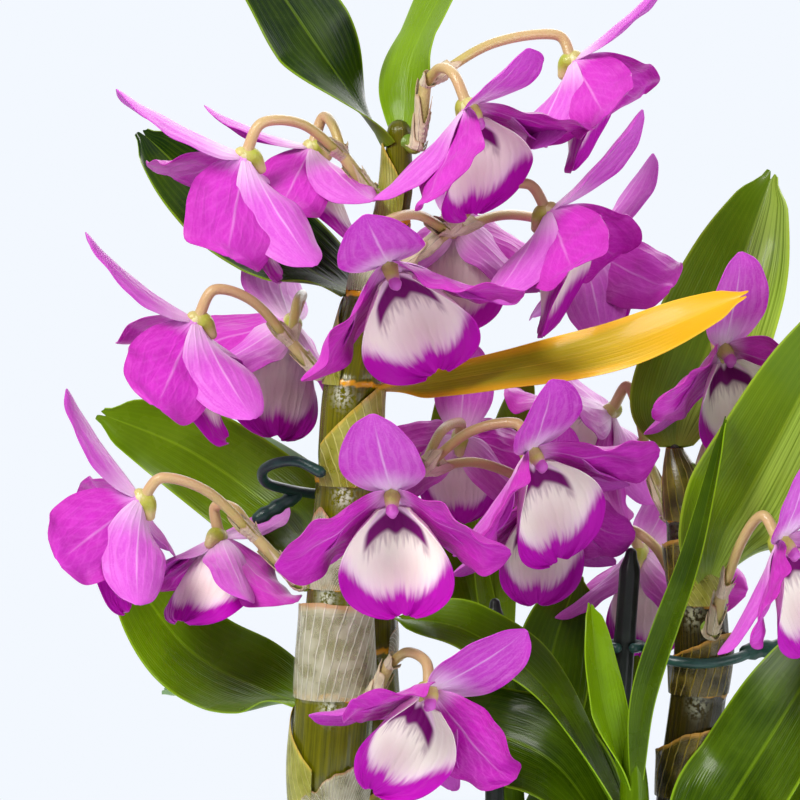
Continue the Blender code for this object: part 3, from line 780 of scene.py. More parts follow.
@dataclass(frozen=True)
class SheathFinish(Finish):
    """A papery sheath: see-through skin between raised pale veins, browner at its torn edge."""

    skin: Colour
    vein: Colour
    torn: Colour
    cover: float = 0.6
    veins: float = 13
    lean: float = 0.12
    fan: float = 0.0

    def dress(self, w: Wiring, shader: bpy.types.Node) -> None:
        """Wires the veins, the browned edge and the alpha."""
        place = w.read(PLACE, "Vector")
        across, along, _ = w.parted(place)
        fanned = across * (1.0 + self.fan - along * self.fan)
        slanted = w.joined(fanned + along * self.lean, along, 0.0)
        vein = w.group(LENGTHWISE_VEINS, place=slanted, count=self.veins, wander=0.06, fineness=42)
        cross_grain = w.noise(w.joined(across, along * 8.0, 0.0), 6.0, 5.0)
        patch = w.group(MOTTLING, per_metre=160, low=0.3, high=0.7)
        colour = w.blend(patch * 0.4, self.skin, self.vein)
        colour = w.blend(vein * 0.85, colour, self.vein)
        tear = along + (cross_grain - 0.5) * 0.12
        colour = w.blend(w.step(tear, 0.9, 1.0) * 0.8, colour, self.torn)
        w.feed(shader.inputs["Base Color"], colour)
        solid = self.cover + vein * 0.4
        solid = solid + w.step(tear, 0.85, 1.0) * 0.4
        solid = (solid + (patch - 0.5) * 0.2).held()
        w.feed(shader.inputs["Alpha"], solid)
        height = vein + cross_grain * 0.4
        w.bump(shader, height, 0.3)
        set_values(shader, {"Coat Weight": 0.2, "Coat Roughness": 0.25})


@dataclass(frozen=True)
class StemFinish(Finish):
    """A flower stalk, column or chin: one colour at its root, another at its flower."""

    root: Colour
    middle: Colour
    end: Colour
    flecks: Colour

    def dress(self, w: Wiring, shader: bpy.types.Node) -> None:
        """Wires the change along the stem, the flecks and the fine cells."""
        _, _, along = w.parted(w.read(PLACE, "Vector"))
        patch = w.group(MOTTLING, per_metre=260, low=0.4, high=0.75)
        colour = w.blend(w.step(along, 0.0, 0.4), self.root, self.middle)
        colour = w.blend(w.step(along, 0.55, 0.95), colour, self.end)
        colour = w.blend(patch * 0.25, colour, self.flecks)
        w.feed(shader.inputs["Base Color"], colour)
        w.bump(shader, w.group(PEBBLING, per_metre=1800), 0.1)
        set_values(shader, {"Coat Weight": 0.1})


@dataclass(frozen=True)
class CoatedFinish(Finish):
    """The plastic coat of a stake or of clip wire, a little scuffed."""

    colour: Colour
    scuffed: Colour

    def dress(self, w: Wiring, shader: bpy.types.Node) -> None:
        """Wires the scuffs and the moulded grain."""
        patch = w.group(MOTTLING, per_metre=120, low=0.45, high=0.75)
        w.feed(shader.inputs["Base Color"], w.blend(patch * 0.6, self.colour, self.scuffed))
        w.feed(shader.inputs["Roughness"], self.roughness + patch * 0.2)
        grain = w.noise(w.where(), 1400.0, 3.0)
        w.bump(shader, grain, 0.12)


@dataclass(frozen=True)
class ClayFinish(Finish):
    """Unglazed terracotta with paler mineral blooms and fine turning lines."""

    clay: Colour
    fired: Colour
    lime: Colour

    def dress(self, w: Wiring, shader: bpy.types.Node) -> None:
        """Wires the clay's patches, the mineral bloom and the turning lines."""
        where = w.where()
        _, _, high = w.parted(w.read(PLACE, "Vector"))
        patch = w.group(MOTTLING, per_metre=22, low=0.3, high=0.7)
        colour = w.blend(patch, self.clay, self.fired)
        bloom = w.step(w.noise(where, 35.0, 6.0), 0.52, 0.7)
        zone = (w.step(high, 0.55, 1.0) + (1.0 - w.step(high, 0.0, 0.2))).held()
        bloom = bloom * (0.15 + zone * 0.45)
        colour = w.blend(bloom, colour, self.lime)
        speck = w.step(w.noise(where, 700.0, 2.0), 0.62, 0.72)
        colour = w.blend(speck * 0.25, colour, self.clay)
        w.feed(shader.inputs["Base Color"], colour)
        w.feed(shader.inputs["Roughness"], self.roughness + bloom * 0.1)
        rings = w.noise(w.joined(0.0, 0.0, high * 60.0), 1.0, 4.0)
        grit = w.noise(where, 900.0, 3.0)
        w.bump(shader, rings * 0.6 + grit * 0.4, 0.5)
        set_values(shader, {"Specular IOR Level": 0.25})


@dataclass(frozen=True)
class BarkFinish(Finish):
    """Damp bark: brown layers with darker cracks."""

    dark: Colour
    light: Colour
    grey: Colour

    def dress(self, w: Wiring, shader: bpy.types.Node) -> None:
        """Wires the layers, the cracks and the weathered faces."""
        where = w.where()
        shift = w.read(TINT)
        layers = w.noise(where, 260.0, 6.0)
        colour = w.blend(w.step(layers, 0.35, 0.65), self.dark, self.light)
        colour = w.blend(shift * 0.7, colour, self.grey)
        w.feed(shader.inputs["Base Color"], colour)
        w.bump(shader, w.noise(where, 420.0, 8.0), 1.2)
        set_values(shader, {"Specular IOR Level": 0.3})


@dataclass(frozen=True)
class FloorFinish(Finish):
    """A plain pale floor, very slightly uneven."""

    colour: Colour
    worn: Colour

    def dress(self, w: Wiring, shader: bpy.types.Node) -> None:
        """Wires the faint unevenness."""
        patch = w.group(MOTTLING, per_metre=3, low=0.3, high=0.7)
        w.feed(shader.inputs["Base Color"], w.blend(patch, self.colour, self.worn))


SEPAL = TepalFinish(
    "sepal_skin", 0.42, base=(238, 210, 238), body=(200, 58, 196), deep=(178, 12, 172),
    vein=(228, 140, 222), pale_to=0.4, vein_share=0.26, branch_share=0.1, veins=7,
)
PETAL = TepalFinish(
    "petal_skin", 0.42, base=(228, 170, 228), body=(192, 12, 178), deep=(162, 0, 142),
    vein=(218, 90, 206), pale_to=0.22, vein_share=0.1, branch_share=0.24, veins=9,
)
# The lip's hollow colour is painted shade for the deep middle of its dish.
LIP = LipFinish(
    "lip_skin", 0.46, cream=(246, 237, 224), blush=(226, 176, 226), margin=(178, 12, 168),
    throat=(112, 0, 100), hollow_shade=(212, 180, 182),
)
LEAF = LeafFinish(
    "green_leaf", 0.25, deep=(4, 32, 0), fresh=(114, 150, 0), under=(82, 124, 4),
    rim=(150, 188, 30),
)
STREAKED_LEAF = LeafFinish(
    "streaked_leaf", 0.32, deep=(40, 74, 0), fresh=(112, 142, 0), under=(112, 144, 20),
    rim=(168, 196, 50), streaks=0.7, streak=(160, 190, 70),
)
GREY_LEAF = LeafFinish(
    "grey_leaf", 0.42, deep=(88, 122, 76), fresh=(150, 176, 138), under=(140, 160, 120),
    rim=(178, 196, 160),
)
YELLOW_LEAF = LeafFinish(
    "ageing_leaf", 0.34, deep=(150, 142, 14), fresh=(206, 172, 24), under=(214, 160, 34),
    rim=(236, 196, 60), streak=(240, 172, 24), aged_rim=0.85,
)
GREEN_CANE = CaneFinish(
    "green_cane", 0.15, dark=(54, 56, 0), light=(108, 106, 0), ring=(226, 160, 6),
    chalk=(214, 218, 196),
)
DARK_CANE = CaneFinish(
    "dark_cane", 0.17, dark=(12, 11, 0), light=(56, 46, 2), ring=(166, 116, 24),
    chalk=(150, 150, 120),
)
PAPER = SheathFinish(
    "papery_sheath", 0.36, skin=(176, 172, 130), vein=(246, 243, 224), torn=(186, 128, 72),
    cover=0.42, veins=19, lean=-0.3, fan=0.9,
)
FRESH_SHEATH = SheathFinish(
    "fresh_sheath", 0.34, skin=(142, 142, 20), vein=(206, 204, 110), torn=(200, 164, 50),
    cover=0.66, veins=19, lean=0.3,
)
STRIPED_SHEATH = SheathFinish(
    "striped_sheath", 0.26, skin=(34, 28, 0), vein=(150, 130, 40), torn=(190, 138, 52),
    cover=0.72, veins=15, lean=-0.15,
)
LEAFY_SHEATH = SheathFinish(
    "leafy_sheath", 0.3, skin=(64, 62, 2), vein=(158, 142, 38), torn=(196, 140, 50),
    cover=1.0, veins=15,
)
BRACT = SheathFinish(
    "bract", 0.6, skin=(204, 186, 150), vein=(236, 226, 200), torn=(184, 152, 112), cover=0.92,
    veins=7,
)
PEDICEL = StemFinish(
    "pedicel", 0.28, root=(178, 168, 84), middle=(198, 168, 116), end=(190, 172, 118),
    flecks=(206, 142, 116),
)
STALK = StemFinish(
    "flower_stalk", 0.4, root=(96, 130, 20), middle=(140, 150, 50), end=(190, 170, 110),
    flecks=(110, 110, 40),
)
CHIN = StemFinish(
    "flower_chin", 0.4, root=(196, 186, 110), middle=(168, 176, 56), end=(206, 190, 130),
    flecks=(160, 120, 60),
)
COLUMN = StemFinish(
    "column", 0.42, root=(214, 214, 150), middle=(190, 186, 84), end=(204, 120, 176),
    flecks=(180, 90, 150),
)
ANTHER = StemFinish(
    "anther_cap", 0.45, root=(196, 84, 180), middle=(206, 92, 196), end=(190, 60, 180),
    flecks=(150, 20, 140),
)
STAKE_COAT = CoatedFinish("stake_coat", 0.42, colour=(12, 20, 14), scuffed=(40, 52, 42))
CLIP_COAT = CoatedFinish("clip_coat", 0.32, colour=(18, 58, 50), scuffed=(50, 92, 82))
CLAY = ClayFinish("terracotta", 0.82, clay=(168, 92, 60), fired=(190, 112, 76), lime=(212, 190, 170))
BARK = BarkFinish("bark_chips_finish", 0.88, dark=(44, 28, 20), light=(128, 86, 56), grey=(120, 104, 88))
FLOOR = FloorFinish("floor", 0.6, colour=(236, 240, 246), worn=(232, 236, 243))


@dataclass
class Pot:
    """A plain tapered pot with a raised rim band and drain holes."""

    height: float = 115.0
    rim_radius: float = 75.0
    rim_height: float = 22.0
    rim_step: float = 4.0
    foot_radius: float = 52.0
    wall: float = 5.0
    floor: float = 7.0
    drains: int = 4
    drain_radius: float = 5.0
    drain_circle: float = 26.0
    sides: int = 120

    def inner_radius(self, height: float) -> float:
        """The radius of the pot's inside at a height."""
        share = (height - self.floor) / (self.height - self.floor)
        top = self.rim_radius - self.rim_step - self.wall
        foot = self.foot_radius - self.wall
        return foot + (top - foot) * share

    def profile(self) -> np.ndarray:
        """The pot's section from the middle of its foot, up the outside and down the inside."""
        shoulder = self.height - self.rim_height
        under_rim = self.inner_radius(shoulder) + self.wall
        rim, inside = self.rim_radius, self.inner_radius(self.height - 2)
        corners = [(0, 0), (self.foot_radius * 0.5, 0), (self.foot_radius - 2.2, 0)]
        corners += [(self.foot_radius - 0.6, 0.6), (self.foot_radius, 2.2)]
        for share in np.linspace(0.1, 1, 9):
            radius = self.foot_radius + (under_rim - self.foot_radius) * share
            corners.append((radius, 2.2 + (shoulder - 4) * share))
        corners += [(under_rim + 0.4, shoulder - 0.5), (rim - 1.6, shoulder + 1.2)]
        corners += [(rim - 0.7, shoulder + 2.6), (rim - 0.3, shoulder + 8)]
        corners += [(rim, self.height - 3.0), (rim - 0.5, self.height - 1.2)]
        corners += [(rim - 1.7, self.height - 0.2), (rim - 3, self.height), (inside + 1.8, self.height)]
        corners += [(inside + 0.5, self.height - 0.5), (inside, self.height - 2)]
        for height in np.linspace(self.height - 12, self.floor + 3, 8):
            corners.append((self.inner_radius(height), height))
        inner_foot = self.inner_radius(self.floor)
        corners += [(inner_foot - 2, self.floor + 0.4), (inner_foot - 5, self.floor)]
        corners += [(20, self.floor), (0, self.floor)]
        return np.array(corners)

    def build(self) -> None:
        """Makes the pot and cuts its drain holes."""
        made = turned(self.profile(), self.sides).piece("terracotta_pot", CLAY, "pot", ("pot",), 40)
        cutters = []
        for turn in range(self.drains):
            angle = math.pi / 4 + turn * math.tau / self.drains
            x, y = self.drain_circle * math.cos(angle), self.drain_circle * math.sin(angle)
            mesh = bpy.data.meshes.new("drain")
            shape = tube(np.array([(x, y, -3), (x, y, self.floor + 3)]), self.drain_radius, 32, blunt=0.1)
            mesh.from_pydata((shape.points * MM).tolist(), [], shape.faces)
            cutters.append(placed("drain", mesh))
            cut = made.modifiers.new("drain", "BOOLEAN")
            cut.object = cutters[-1]
            cut.solver = "EXACT"
        bpy.context.view_layer.update()
        cut_mesh = bpy.data.meshes.new_from_object(made.evaluated_get(bpy.context.evaluated_depsgraph_get()))
        made.modifiers.clear()
        made.data = cut_mesh
        for cutter in cutters:
            bpy.data.objects.remove(cutter)


@dataclass
class BarkBed:
    """The filling of the pot: a rough bed with loose chips of bark on it."""

    pot: Pot
    standing: list[tuple[tuple[float, float], float]]
    level: float = 100.0
    crown: float = 4.0
    chips: int = 330
    seed: int = 41

    def bed_height(self, x: float, y: float) -> float:
        """The height of the bed at a place."""
        away = math.hypot(x, y) / self.pot.inner_radius(self.level)
        rough = noise.noise(Vector((x * 0.09, y * 0.09, 3.1)))
        return self.level + self.crown * (1 - away * away) - 1.5 + 1.6 * rough

    def bed(self) -> Shape:
        """The filling itself, a little uneven on top."""
        gap = 0.4
        foot = self.pot.floor + gap
        edge = self.pot.inner_radius(self.level) - 1.0
        corners = [(0, foot), (self.pot.inner_radius(self.pot.floor) - 5.6, foot), (edge, self.level - 1.5)]
        corners += [(edge * share, self.level) for share in np.linspace(0.97, 0.06, 22)]
        corners.append((0, self.level))
        shape = turned(corners, 90)
        for point in shape.points:
            if point[2] > self.level - 0.1:
                point[2] = self.bed_height(point[0], point[1])
        return shape

    def chip(self, rng: random.Random, base: list[Vector], faces: list[list[int]],
             middle: np.ndarray) -> Shape:
        """Makes one chip.

        Args:
            rng: Where the chances come from.
            base: The points of a plain ball.
            faces: Its faces.
            middle: Where the chip lies.

        Returns:
            A slab with broken edges, turned and tilted.
        """
        size = np.array((rng.uniform(4, 8.5), rng.uniform(2.6, 5.5), rng.uniform(1.1, 2.4)))
        turn, tilt, roll = rng.uniform(0, math.tau), rng.gauss(0, 0.32), rng.gauss(0, 0.32)
        offset = rng.uniform(0, 50)
        points = []
        for point in base:
            blunt = [math.copysign(abs(value) ** 0.55, value) for value in point]
            bump = noise.noise(Vector((point.x * 1.7 + offset, point.y * 1.7, point.z * 1.7)))
            points.append(size * blunt * (1 + 0.38 * bump))
        points = np.array(points)
        points[:, 2] += 0.25 * np.sin(points[:, 0] * 1.3 + offset)
        turns = ((turn, "Z"), (tilt, "Y"), (roll, "X"))
        spin, lean, side = (np.array(Matrix.Rotation(angle, 3, axis)) for angle, axis in turns)
        points = middle + points @ (spin @ lean @ side).T
        count = len(points)
        return Shape(points, faces, np.zeros((count, 3)), np.full(count, rng.random() ** 2), np.zeros(count))

    def free(self, x: float, y: float, room: float) -> bool:
        """Whether a place on the bed is clear of all that stands in it."""
        return all(math.hypot(x - foot[0], y - foot[1]) > radius + room for foot, radius in self.standing)

    def build(self) -> None:
        """Makes the bed and scatters its chips."""
        self.bed().piece("bark_bed", BARK, "bark", ("potting_bark",))
        rng = random.Random(self.seed)
        ball = bmesh.new()
        bmesh.ops.create_icosphere(ball, subdivisions=2, radius=1)
        base = [vertex.co.copy() for vertex in ball.verts]
        faces = [[vertex.index for vertex in face.verts] for face in ball.faces]
        ball.free()
        reach = self.pot.inner_radius(self.level) - 7
        chips = []
        while len(chips) < self.chips:
            distance, bearing = reach * math.sqrt(rng.random()), rng.uniform(0, math.tau)
            x, y = distance * math.cos(bearing), distance * math.sin(bearing)
            layer = len(chips) / self.chips
            if self.free(x, y, 4.0):
                height = self.bed_height(x, y) + 0.4 + 3.2 * layer * rng.random()
                chips.append(self.chip(rng, base, faces, np.array((x, y, height))))
        Shape.joined(chips).piece("bark_chips", BARK, "bark", ("potting_bark",), 35)


@dataclass
class Sheath:
    """A dry or fresh sheath that wraps part of a cane from a ring upwards.

    Attributes:
        low: The height of the ring that it grows from.
        high: The height of its highest point.
        middle: The azimuth that its middle faces, in degrees.
        spread: How far it reaches to each side of there, in degrees.
        peak: Where its highest point is, from -1 to 1 across it.
        drop: How far its edge falls away from the peak, as a share of its height.
        flare: How far its top stands off the cane.
        ragged: How torn its edge is, in millimetres.
    """

    low: float
    high: float
    middle: float
    spread: float
    peak: float = 0.0
    drop: float = 0.5
    flare: float = 1.6
    ragged: float = 1.2


@dataclass
class Cane:
    """A jointed cane with its rings, its chalky buds and the sheaths round it.

    Attributes:
        name: Its name.
        stem: Middle and radius at places up its middle line.
        rings: The heights of its rings.
        finish: Its finish.
        sheaths: The name, place and finish of each sheath.
        sides: How many points go round it.
        swell: How far a ring stands out.
        wander: How far a ring's edge strays up and down.
        ring_width: How soon a ring dies away above and below.
        waist: How far above its ring a joint is narrowest.
    """

    name: str
    stem: tuple[tuple[float, float, float, float], ...]
    rings: tuple[float, ...]
    finish: CaneFinish
    sheaths: tuple[tuple[str, Sheath, SheathFinish], ...] = ()
    sides: int = 48
    swell: float = 0.72
    wander: float = 1.6
    ring_width: float = 1.1
    waist: float = 4.0
    samples: np.ndarray = field(init=False)

    def __post_init__(self) -> None:
        """Samples the stem once."""
        self.samples = smooth_line(self.stem, 200)

    def at(self, height: float) -> tuple[np.ndarray, float]:
        """The middle and the radius at a height."""
        found = [np.interp(height, self.samples[:, 2], self.samples[:, axis]) for axis in (0, 1, 2, 3)]
        return np.array(found[:3]), float(found[3])

    def build(self) -> None:
        """Makes the cane and its sheaths."""
        low, high = self.stem[0][2], self.stem[-1][2] - 0.5
        heights = np.linspace(low, high, int((high - low) / 0.9))
        turns = np.linspace(0, math.tau, self.sides, endpoint=False)
        line, radii, rings = [], [], []
        teeth = {}
        for place in self.rings:
            round_it = [Vector((3.5 * math.cos(turn), 3.5 * math.sin(turn), place * 0.7)) for turn in turns]
            teeth[place] = np.array([noise.noise(where) for where in round_it])
        for height in heights:
            middle, radius = self.at(height)
            above = [height - place - self.wander * teeth[place] for place in self.rings]
            ring = np.max([np.exp(-(gap / self.ring_width) ** 2) for gap in above], 0)
            waist = max(math.exp(-((height - place - self.waist) / 3.0) ** 2) for place in self.rings)
            ribs = 0.16 * np.cos(11 * turns + 0.02 * height) + 0.12 * np.cos(7 * turns - 0.03 * height)
            fade = 1 - ease(height, high - 40, high - 5)
            line.append(middle)
            radii.append(radius + self.swell * ring - 0.4 * waist + ribs * fade * (1 - ring))
            rings.append(ring)
        shape = tube(np.array(line), np.array(radii), self.sides)
        bare = np.zeros((3, self.sides))
        shape.tint = np.vstack([bare, rings, bare]).ravel()
        shape.mark = self.chalk(shape.points)
        shape.piece("cane_" + self.name + "_stem", self.finish, "cane", ("cane_" + self.name,), 60)
        for label, sheath, finish in self.sheaths:
            self.wrap(sheath).piece(f"sheath_{self.name}_{label}", finish, "cane")

    def chalk(self, points: np.ndarray) -> np.ndarray:
        """Marks the chalky bud under each ring, on the side that faces the front.

        Args:
            points: The cane's points.

        Returns:
            How chalky each is, from 0 to 1.
        """
        mark = np.zeros(len(points))
        for index, ring in enumerate(self.rings):
            middle, radius = self.at(ring - 3.6)
            spot = middle + radius * outward(-4 if index % 2 else -20)
            off = (points - spot) / (2.6, 2.6, 3.2)
            mark = np.maximum(mark, np.exp(-np.sum(off ** 2, axis=1)))
        return mark

    def wrap(self, sheath: Sheath, rows: int = 26, columns: int = 44) -> Shape:
        """Wraps a sheath round the cane.

        Args:
            sheath: Where it is and how it is torn.
            rows: How many rows of points go up it.
            columns: How many go round it.

        Returns:
            The thin wrapped skin.
        """
        across, along = np.linspace(-1, 1, columns), np.linspace(0, 1, rows)
        grid = np.zeros((rows, columns, 3))
        for column, side in enumerate(across):
            out = outward(sheath.middle + sheath.spread * side)
            fall = sheath.drop * abs(side - sheath.peak) ** 1.3 / (1 + abs(sheath.peak)) ** 1.3
            tear = noise.noise(Vector((side * 3.3, sheath.low * 0.37, 0.5)))
            tear += 0.5 * noise.noise(Vector((side * 9.1, sheath.low * 0.37, 2.5)))
            top = sheath.low + (sheath.high - sheath.low) * (1 - fall) + sheath.ragged * tear
            for row, share in enumerate(along):
                height = sheath.low - 0.8 + (top - sheath.low) * share
                middle, radius = self.at(height)
                curl = sheath.flare * share ** 3 * (0.6 + 0.4 * math.sin(5 * side + sheath.low))
                grid[row, column] = middle + (radius + 0.75 + 0.5 * math.sin(math.pi * share) + curl) * out
        return blade(grid, across, along, 0.22, 0.8)


STRAP = smooth_line(((0, 0.3), (0.2, 0.8), (0.4, 1.0), (0.6, 0.98), (0.8, 0.78), (1, 0.26)), 90)
NARROW_FOOT = smooth_line(((0, 0.34), (0.2, 0.42), (0.42, 0.66), (0.62, 0.84), (0.82, 0.78), (1, 0.36)), 90)


@dataclass
class Blade:
    """One leaf blade: its midrib, its width, the way its face turns and its shade of green."""

    midrib: tuple[Point, ...]
    width: float
    face: Point
    shade: float = 0.3
    keel: float = 0.18
    thickness: float = 1.0
    outline: np.ndarray = field(default_factory=lambda: STRAP)

    def shape(self, start: np.ndarray, rows: int = 56, columns: int = 23) -> Shape:
        """Makes the blade.

        Args:
            start: Where its midrib leaves its stem.
            rows: How many rows of points it has.
            columns: How many points each row has.

        Returns:
            A keeled strap, notched at its tip, that turns from its stem to its own face.
        """
        points = smooth_line([start, *self.midrib], rows)
        steps = np.gradient(points, axis=0)
        level = unit((points[3] - points[0]) * (1, 1, 0.001))
        inward = unit((-level[0], -level[1], 0.6))
        inward = inward if np.dot(inward, self.face) > 0 else -inward
        across, along = np.linspace(-1, 1, columns), np.linspace(0, 1, rows)
        grid = np.zeros((rows, columns, 3))
        notch = 0.025 * np.linalg.norm(points[-1] - points[0])
        for row, place in enumerate(along):
            half = 0.5 * self.width * np.interp(place, self.outline[:, 0], self.outline[:, 1])
            half *= 1 - 0.55 * ease(place, 0.93, 1.0)
            forward = unit(steps[row])
            share = min(place / 0.45, 1)
            side = unit(np.cross(forward, (1 - share) * inward + share * unit(self.face)))
            normal = np.cross(side, forward)
            wave = 0.05 * self.width * math.sin(6.3 * place + self.width)
            bent = np.sqrt(across ** 2 + 0.015) - 0.12
            ripple = 0.012 * self.width * np.sin(19 * place + 3 * across + self.width) * across ** 2
            lift = self.keel * half * bent + wave * across ** 3 + ripple
            pull = 1.1 * np.exp(-(across / 0.25) ** 2) + 0.6 * ease(across, 0, 1)
            pull = ease(place, 0.9, 1.0) * notch * pull
            grid[row] = points[row] + np.outer(across * half, side) + np.outer(lift, normal)
            grid[row] -= np.outer(pull, forward)
        return blade(grid, across, along, self.thickness, 0.35, self.shade)


@dataclass
class Leaf:
    """A leaf of a cane: where it leaves it, its blade, its finish and the fresh sheath at its foot."""

    name: str
    cane: str
    height: float
    blade: Blade
    finish: LeafFinish
    sheath: float = 0.0

    def build(self, canes: dict[str, Cane]) -> None:
        """Makes the leaf.

        Args:
            canes: The canes by name.
        """
        cane = canes[self.cane]
        middle, radius = cane.at(self.height)
        away = unit((np.array(self.blade.midrib[0]) - middle) * (1, 1, 0))
        start = middle + away * (radius + 0.2)
        self.blade.shape(start).piece(
            f"leaf_{self.name}_blade", self.finish,
            "yellow_leaf" if self.finish is YELLOW_LEAF else "leaf", ("leaf_" + self.name,),
        )
        if self.sheath:
            bearing = math.degrees(math.atan2(away[0], -away[1]))
            low = max(ring for ring in cane.rings if ring < self.height - 2)
            wrap = Sheath(low, self.height + 3, bearing, self.sheath, drop=0.6, flare=0.8, ragged=0.3)
            cane.wrap(wrap).piece(f"leaf_{self.name}_sheath", FRESH_SHEATH, "leaf")


@dataclass
class Shoot:
    """A young leafy growth: a short stem and the leaves that wrap it."""

    name: str
    stem: tuple[tuple[float, float, float, float], ...]
    blades: tuple[Blade, ...]

    def build(self) -> None:
        """Makes the stem and the leaves in one piece."""
        stem = smooth_line(self.stem, 60)
        pieces = [tube(stem[:, :3], stem[:, 3], 24, 0.4)]
        pieces[0].place[:, 1] = 0.5
        pieces[0].place[:, 0] *= 0.8
        for one in self.blades:
            rest = Blade(one.midrib[1:], one.width, one.face, one.shade, 0.62 if one.width < 20 else 0.3)
            pieces.append(rest.shape(np.array(one.midrib[0], float)))
        Shape.joined(pieces).piece(f"shoot_{self.name}_growth", LEAF, "leaf", ("shoot_" + self.name,))


class Flower:
    """The place of one bloom: its middle, and its rightward, upward and forward directions."""

    def __init__(self, middle: Point, azimuth: float, nod: float, roll: float, scale: float) -> None:
        """Works out the directions.

        Args:
            middle: The middle of the bloom.
            azimuth: The way it faces, seen from above.
            nod: How far below level it faces.
            roll: How far it leans to the left, in degrees.
            scale: Its size, where 1 is a full bloom.
        """
        droop, lean = math.radians(nod), math.radians(roll)
        level = outward(azimuth)
        above = np.array((0, 0, 1))
        self.middle = np.array(middle, float)
        self.scale = scale
        self.front = math.cos(droop) * level - math.sin(droop) * above
        up = math.sin(droop) * level + math.cos(droop) * above
        right = np.cross(up, self.front)
        self.right = right * math.cos(lean) + up * math.sin(lean)
        self.up = up * math.cos(lean) - right * math.sin(lean)

    def at(self, right: float, up: float, front: float) -> np.ndarray:
        """A point given in the bloom's own directions."""
        return self.middle + self.scale * (right * self.right + up * self.up + front * self.front)

    def place(self, grid: np.ndarray) -> np.ndarray:
        """A grid of such points."""
        flat = grid.reshape(-1, 3) @ np.array((self.right, self.up, self.front))
        return self.middle + self.scale * flat.reshape(grid.shape)


@dataclass(frozen=True)
class Tepal:
    """A sepal or petal of a bloom of full scale.

    Attributes:
        length: Its length.
        width: Its full width.
        angle: Its turn from the top to the right, in degrees.
        sweep: How far forward it leaves the middle, in degrees.
        bend: How far it bends back over its length, in degrees.
        cup: How far its sides rise, as a share of its half width.
        outline: Pairs of place and share of the width.
        ruffle: How far its edges wave, in millimetres.
        twist: How far it turns about its own length, in degrees.
    """

    length: float
    width: float
    angle: float
    sweep: float
    bend: float
    cup: float
    outline: tuple[tuple[float, float], ...]
    ruffle: float
    twist: float = 0.0

    def shape(self, flower: Flower, rng: random.Random, rows: int = 34, columns: int = 17) -> Shape:
        """Makes it in place on a bloom.

        Args:
            flower: The bloom.
            rng: Where its own small differences come from.
            rows: How many rows of points it has.
            columns: How many points each row has.

        Returns:
            The thin, cupped and ruffled blade.
        """
        angle = math.radians(self.angle + rng.uniform(-5, 5))
        sweep = math.radians(self.sweep + rng.uniform(-3, 3))
        bend = math.radians(self.bend + rng.uniform(-6, 6))
        plane = np.array((math.sin(angle), math.cos(angle), 0))
        front = np.array((0, 0, 1.0))
        aside = np.cross(plane, front)
        shares = smooth_line(self.outline, 90)
        across, along = np.linspace(-1, 1, columns), np.linspace(0, 1, rows) ** 0.92
        phases = [rng.uniform(0, math.tau) for _ in range(4)]
        twist = math.radians(self.twist + rng.uniform(-7, 7))
        grid = np.zeros((rows, columns, 3))
        point = 2.0 * plane
        before = 0.0
        for row, place in enumerate(along):
            tilt = sweep + bend * (place + before) / 2
            point = point + (place - before) * self.length * (math.cos(tilt) * plane + math.sin(tilt) * front)
            before = place
            tilt = sweep + bend * place
            normal = math.cos(tilt) * front - math.sin(tilt) * plane
            half = 0.5 * self.width * np.interp(place, shares[:, 0], shares[:, 1])
            wave = np.where(across > 0, np.sin(9 * place + phases[0]), np.sin(8 * place + phases[1]))
            fine = np.where(across > 0, np.sin(23 * place + phases[2]), np.sin(21 * place + phases[3]))
            calm = self.ruffle * min(1.0, 2.4 * half / self.width)
            frill = calm * (wave + 0.35 * fine) * ease(place, 0.15, 0.6) * np.abs(across) ** 2.5
            spots = [Vector((side * 1.9 + phases[0], place * 4.2, phases[1])) for side in across]
            creases = np.array([noise.noise(spot) for spot in spots])
            crinkle = calm * 0.8 * creases * ease(place, 0.1, 0.5)
            rib = crinkle - 0.35 * np.exp(-(across / 0.12) ** 2) * (1 - place)
            tip = -0.9 * self.ruffle * ease(place, 0.8, 1.0)
            lift = self.cup * half * across ** 2 * 1.15 + frill + rib + tip
            turn = twist * ease(place, 0.0, 0.5)
            side = math.cos(turn) * aside + math.sin(turn) * normal
            facing = math.cos(turn) * normal - math.sin(turn) * aside
            grid[row] = point + np.outer(across * half, side) + np.outer(lift, facing)
        return blade(flower.place(grid), across, along, 0.75, 0.3, rng.uniform(-0.12, 0.22))


SEPAL_OUTLINE = ((0, 0.26), (0.16, 0.68), (0.38, 1.0), (0.6, 0.98), (0.78, 0.79), (0.92, 0.5), (1, 0.08))
PETAL_OUTLINE = ((0, 0.2), (0.16, 0.64), (0.38, 0.95), (0.6, 1.0), (0.78, 0.9), (0.92, 0.64), (1, 0.14))
DORSAL = Tepal(41.5, 24.5, 0, 7, -14, 0.2, SEPAL_OUTLINE, 0.5)
LATERALS = tuple(
    Tepal(40.0, 21.5, side * 128, 22, -8, 0.26, SEPAL_OUTLINE, 0.6, side * -34) for side in (1, -1))
PETALS = tuple(
    Tepal(40.0, 29.0, side * 88, 42, -8, 0.14, PETAL_OUTLINE, 2.1, side * -8) for side in (1, -1))


